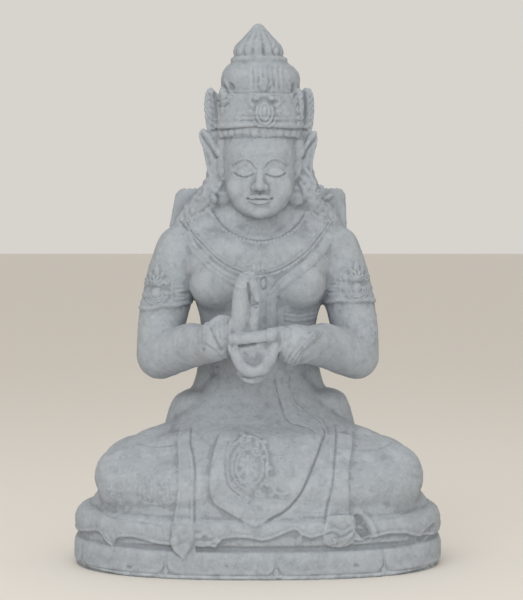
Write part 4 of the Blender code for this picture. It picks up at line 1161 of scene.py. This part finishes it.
def stoneMaterial():
    mat = bpy.data.materials.new("weatheredStone")
    mat.use_nodes = True
    tree = mat.node_tree
    shader = tree.nodes["Principled BSDF"]
    where = tree.nodes.new("ShaderNodeTexCoord").outputs["Object"]

    def add(kind, **values):
        node = tree.nodes.new(kind)
        for key, value in values.items():
            if key in node.inputs:
                node.inputs[key].default_value = value
            else:
                setattr(node, key, value)
        return node

    def noise(scale, detail=4.0, roughness=0.55, distortion=0.0):
        node = add("ShaderNodeTexNoise", Scale=scale, Detail=detail, Roughness=roughness,
                   Distortion=distortion)
        tree.links.new(where, node.inputs["Vector"])
        return node.outputs["Fac"]

    def cells(scale, feature="F1"):
        node = add("ShaderNodeTexVoronoi", Scale=scale, feature=feature)
        tree.links.new(where, node.inputs["Vector"])
        return node.outputs["Distance"]

    def span(source, low, high, toLow=0.0, toHigh=1.0):
        node = tree.nodes.new("ShaderNodeMapRange")
        node.interpolation_type = "SMOOTHSTEP"
        for key, value in zip(("From Min", "From Max", "To Min", "To Max"), (low, high, toLow, toHigh)):
            node.inputs[key].default_value = value
        tree.links.new(source, node.inputs["Value"])
        return node.outputs["Result"]

    def sums(operation, first, second):
        node = tree.nodes.new("ShaderNodeMath")
        node.operation = operation
        for k, value in enumerate((first, second)):
            if isinstance(value, (int, float)):
                node.inputs[k].default_value = value
            else:
                tree.links.new(value, node.inputs[k])
        return node.outputs[0]

    def mix(amount, first, second):
        node = tree.nodes.new("ShaderNodeMix")
        node.data_type = "RGBA"
        for socket, value in ((node.inputs["Factor"], amount), (node.inputs[6], first),
                              (node.inputs[7], second)):
            if isinstance(value, tuple):
                socket.default_value = (*value, 1.0)
            elif isinstance(value, float):
                socket.default_value = value
            else:
                tree.links.new(value, socket)
        return node.outputs[2]

    def attribute(name):
        node = tree.nodes.new("ShaderNodeAttribute")
        node.attribute_name = name
        return node.outputs["Fac"]

    # broad clouds, then grain, then light and dark specks
    clouds = span(noise(9, 5, 0.6, 0.4), 0.36, 0.66)
    colour = mix(clouds, stone["mid"], stone["light"])
    colour = mix(span(noise(5, 3, 0.5, 0.6), 0.50, 0.70, 0.0, 0.55), colour, stone["green"])
    colour = mix(span(noise(150, 3, 0.6), 0.50, 0.66, 0.0, 0.22), colour, stone["paleDustAndHighlight"])
    colour = mix(span(noise(110, 3, 0.6), 0.50, 0.34, 0.0, 0.22), colour, stone["dark"])
    grain = noise(420, 3, 0.7)
    colour = mix(span(grain, 0.56, 0.74, 0.0, 0.35), colour, stone["paleDustAndHighlight"])
    colour = mix(span(grain, 0.44, 0.28, 0.0, 0.35), colour, stone["dark"])
    speck = span(cells(230), 0.16, 0.05)
    speck = sums("MULTIPLY", speck, span(noise(60, 2), 0.52, 0.62))
    colour = mix(sums("MULTIPLY", speck, 0.6), colour, stone["paleDustAndHighlight"])
    # darker in the hollows: dirt and painted shade, the broad hollows only painted shade
    fine, broad = attribute("hollowFine"), attribute("hollowBroad")
    dirtAndPaintedShade = sums("MAXIMUM", span(fine, 0.12, 0.85), sums("MULTIPLY", span(broad, 0.15, 0.95), 0.08))
    colour = mix(sums("MULTIPLY", dirtAndPaintedShade, 0.45), colour, stone["dark"])
    # worn pale edges: wear, partly a painted highlight on the proud edges
    worn = sums("MULTIPLY", span(fine, -0.12, -0.7), span(noise(38, 4, 0.6), 0.36, 0.62))
    colour = mix(sums("MULTIPLY", worn, 0.3), colour, stone["paleDustAndHighlight"])
    # pale dust round the foot
    axes = tree.nodes.new("ShaderNodeSeparateXYZ")
    tree.links.new(where, axes.inputs[0])
    low = span(axes.outputs["Z"], 0.016, 0.002)
    foot = sums("MULTIPLY", low, span(noise(46, 5, 0.65, 0.8), 0.40, 0.60))
    colour = mix(sums("MULTIPLY", foot, 0.75), colour, stone["paleDustAndHighlight"])
    tree.links.new(colour, shader.inputs["Base Color"])
    tree.links.new(span(noise(120, 3), 0.3, 0.7, *stone["roughness"]), shader.inputs["Roughness"])
    shader.inputs["Specular IOR Level"].default_value = 0.25
    # surface: fine grain, soft tool marks and scattered pits
    pits = span(cells(150), 0.10, 0.02)
    pits = sums("MULTIPLY", pits, span(noise(30, 2), 0.50, 0.60))
    level = sums("ADD", sums("MULTIPLY", grain, 0.35), sums("MULTIPLY", noise(90, 5, 0.65), 1.0))
    level = sums("SUBTRACT", level, sums("MULTIPLY", pits, 0.7))
    bump = tree.nodes.new("ShaderNodeBump")
    bump.inputs["Strength"].default_value = 0.55
    bump.inputs["Distance"].default_value = 0.0016
    tree.links.new(level, bump.inputs["Height"])
    tree.links.new(bump.outputs["Normal"], shader.inputs["Normal"])
    return mat


def makeStatue():
    rough = fuse("rough", (addTorso, addHips, addLegs, addArms, addHair), carving["roughCell"],
                 carving["roughRounds"])
    cell = carving["fineCell"]
    head = fuse("head", (addHead,), cell, 14)
    head = fuse("face", (addFace,), cell, 3, (head,))
    hands = fuse("hands", (addHands,), cell, 7)
    leaves = fuse("leaves", (addSideLeaves,), cell, 4)
    statue = fuse("statueStone", (addPanel, addCrown, addPlinth), cell, 1, (rough, head, hands, leaves))
    carve(statue)
    keepInside(statue, cadLow, cadHigh)
    finishSkin(statue)
    keepInside(statue, cadLow, cadHigh)
    storeHollowsForShadeAndWear(statue)
    statue.data.materials.clear()
    statue.data.materials.append(stoneMaterial())
    statue.data.polygons.foreach_set("use_smooth", [True] * len(statue.data.polygons))
    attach(statue, "root")
    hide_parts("statue")
    return statue


studio = {
    "floor": (0.80, 0.765, 0.71), "floorSize": 60,
    "keySize": 2.6, "keyPower": 38, "fillPower": 30, "topPower": 8,
    "sky": (0.80, 0.765, 0.72), "skyPower": 0.85,
}


def makeStudio():
    bm = bmesh.new()
    bmesh.ops.create_grid(bm, x_segments=1, y_segments=1, size=studio["floorSize"])
    floor = newObject("floor", bm)
    mat = bpy.data.materials.new("paleFloor")
    mat.use_nodes = True
    shader = mat.node_tree.nodes["Principled BSDF"]
    shader.inputs["Base Color"].default_value = (*studio["floor"], 1.0)
    shader.inputs["Roughness"].default_value = 0.9
    floor.data.materials.append(mat)
    for name, at, size, power in (("key", (-0.9, -2.7, 2.3), studio["keySize"], studio["keyPower"]),
                                  ("fill", (0.9, -3.3, 0.4), 1.6, studio["fillPower"]),
                                  ("top", (0.2, 0.2, 3.0), 1.8, studio["topPower"])):
        light = bpy.data.lights.new(name, "AREA")
        light.shape = "SQUARE"
        light.size = size
        light.energy = power
        light.color = (0.94, 0.97, 1.0)
        lamp = bpy.data.objects.new(name, light)
        lamp.location = at
        lamp.rotation_euler = (Vector((0, 0, 0.4)) - Vector(at)).to_track_quat("-Z", "Y").to_euler()
        bpy.context.scene.collection.objects.link(lamp)
    world = bpy.data.worlds.new("studio")
    world.use_nodes = True
    sky = world.node_tree.nodes["Background"]
    sky.inputs["Color"].default_value = (*studio["sky"], 1.0)
    sky.inputs["Strength"].default_value = studio["skyPower"]
    bpy.context.scene.world = world
    bpy.context.scene.view_settings.view_transform = "Standard"


viewpoint = {"at": (0.0055, -2.88, 0.48), "lens": 115.6, "tilt": -1.81}


def makeCamera():
    data = bpy.data.cameras.new("camera")
    data.lens = viewpoint["lens"]
    data.sensor_fit = "VERTICAL"
    data.sensor_height = 36
    cam = bpy.data.objects.new("camera", data)
    cam.location = viewpoint["at"]
    cam.rotation_euler = (math.radians(90 + viewpoint["tilt"]), 0, 0)
    bpy.context.scene.collection.objects.link(cam)
    bpy.context.scene.camera = cam


makeStatue()
makeStudio()
makeCamera()
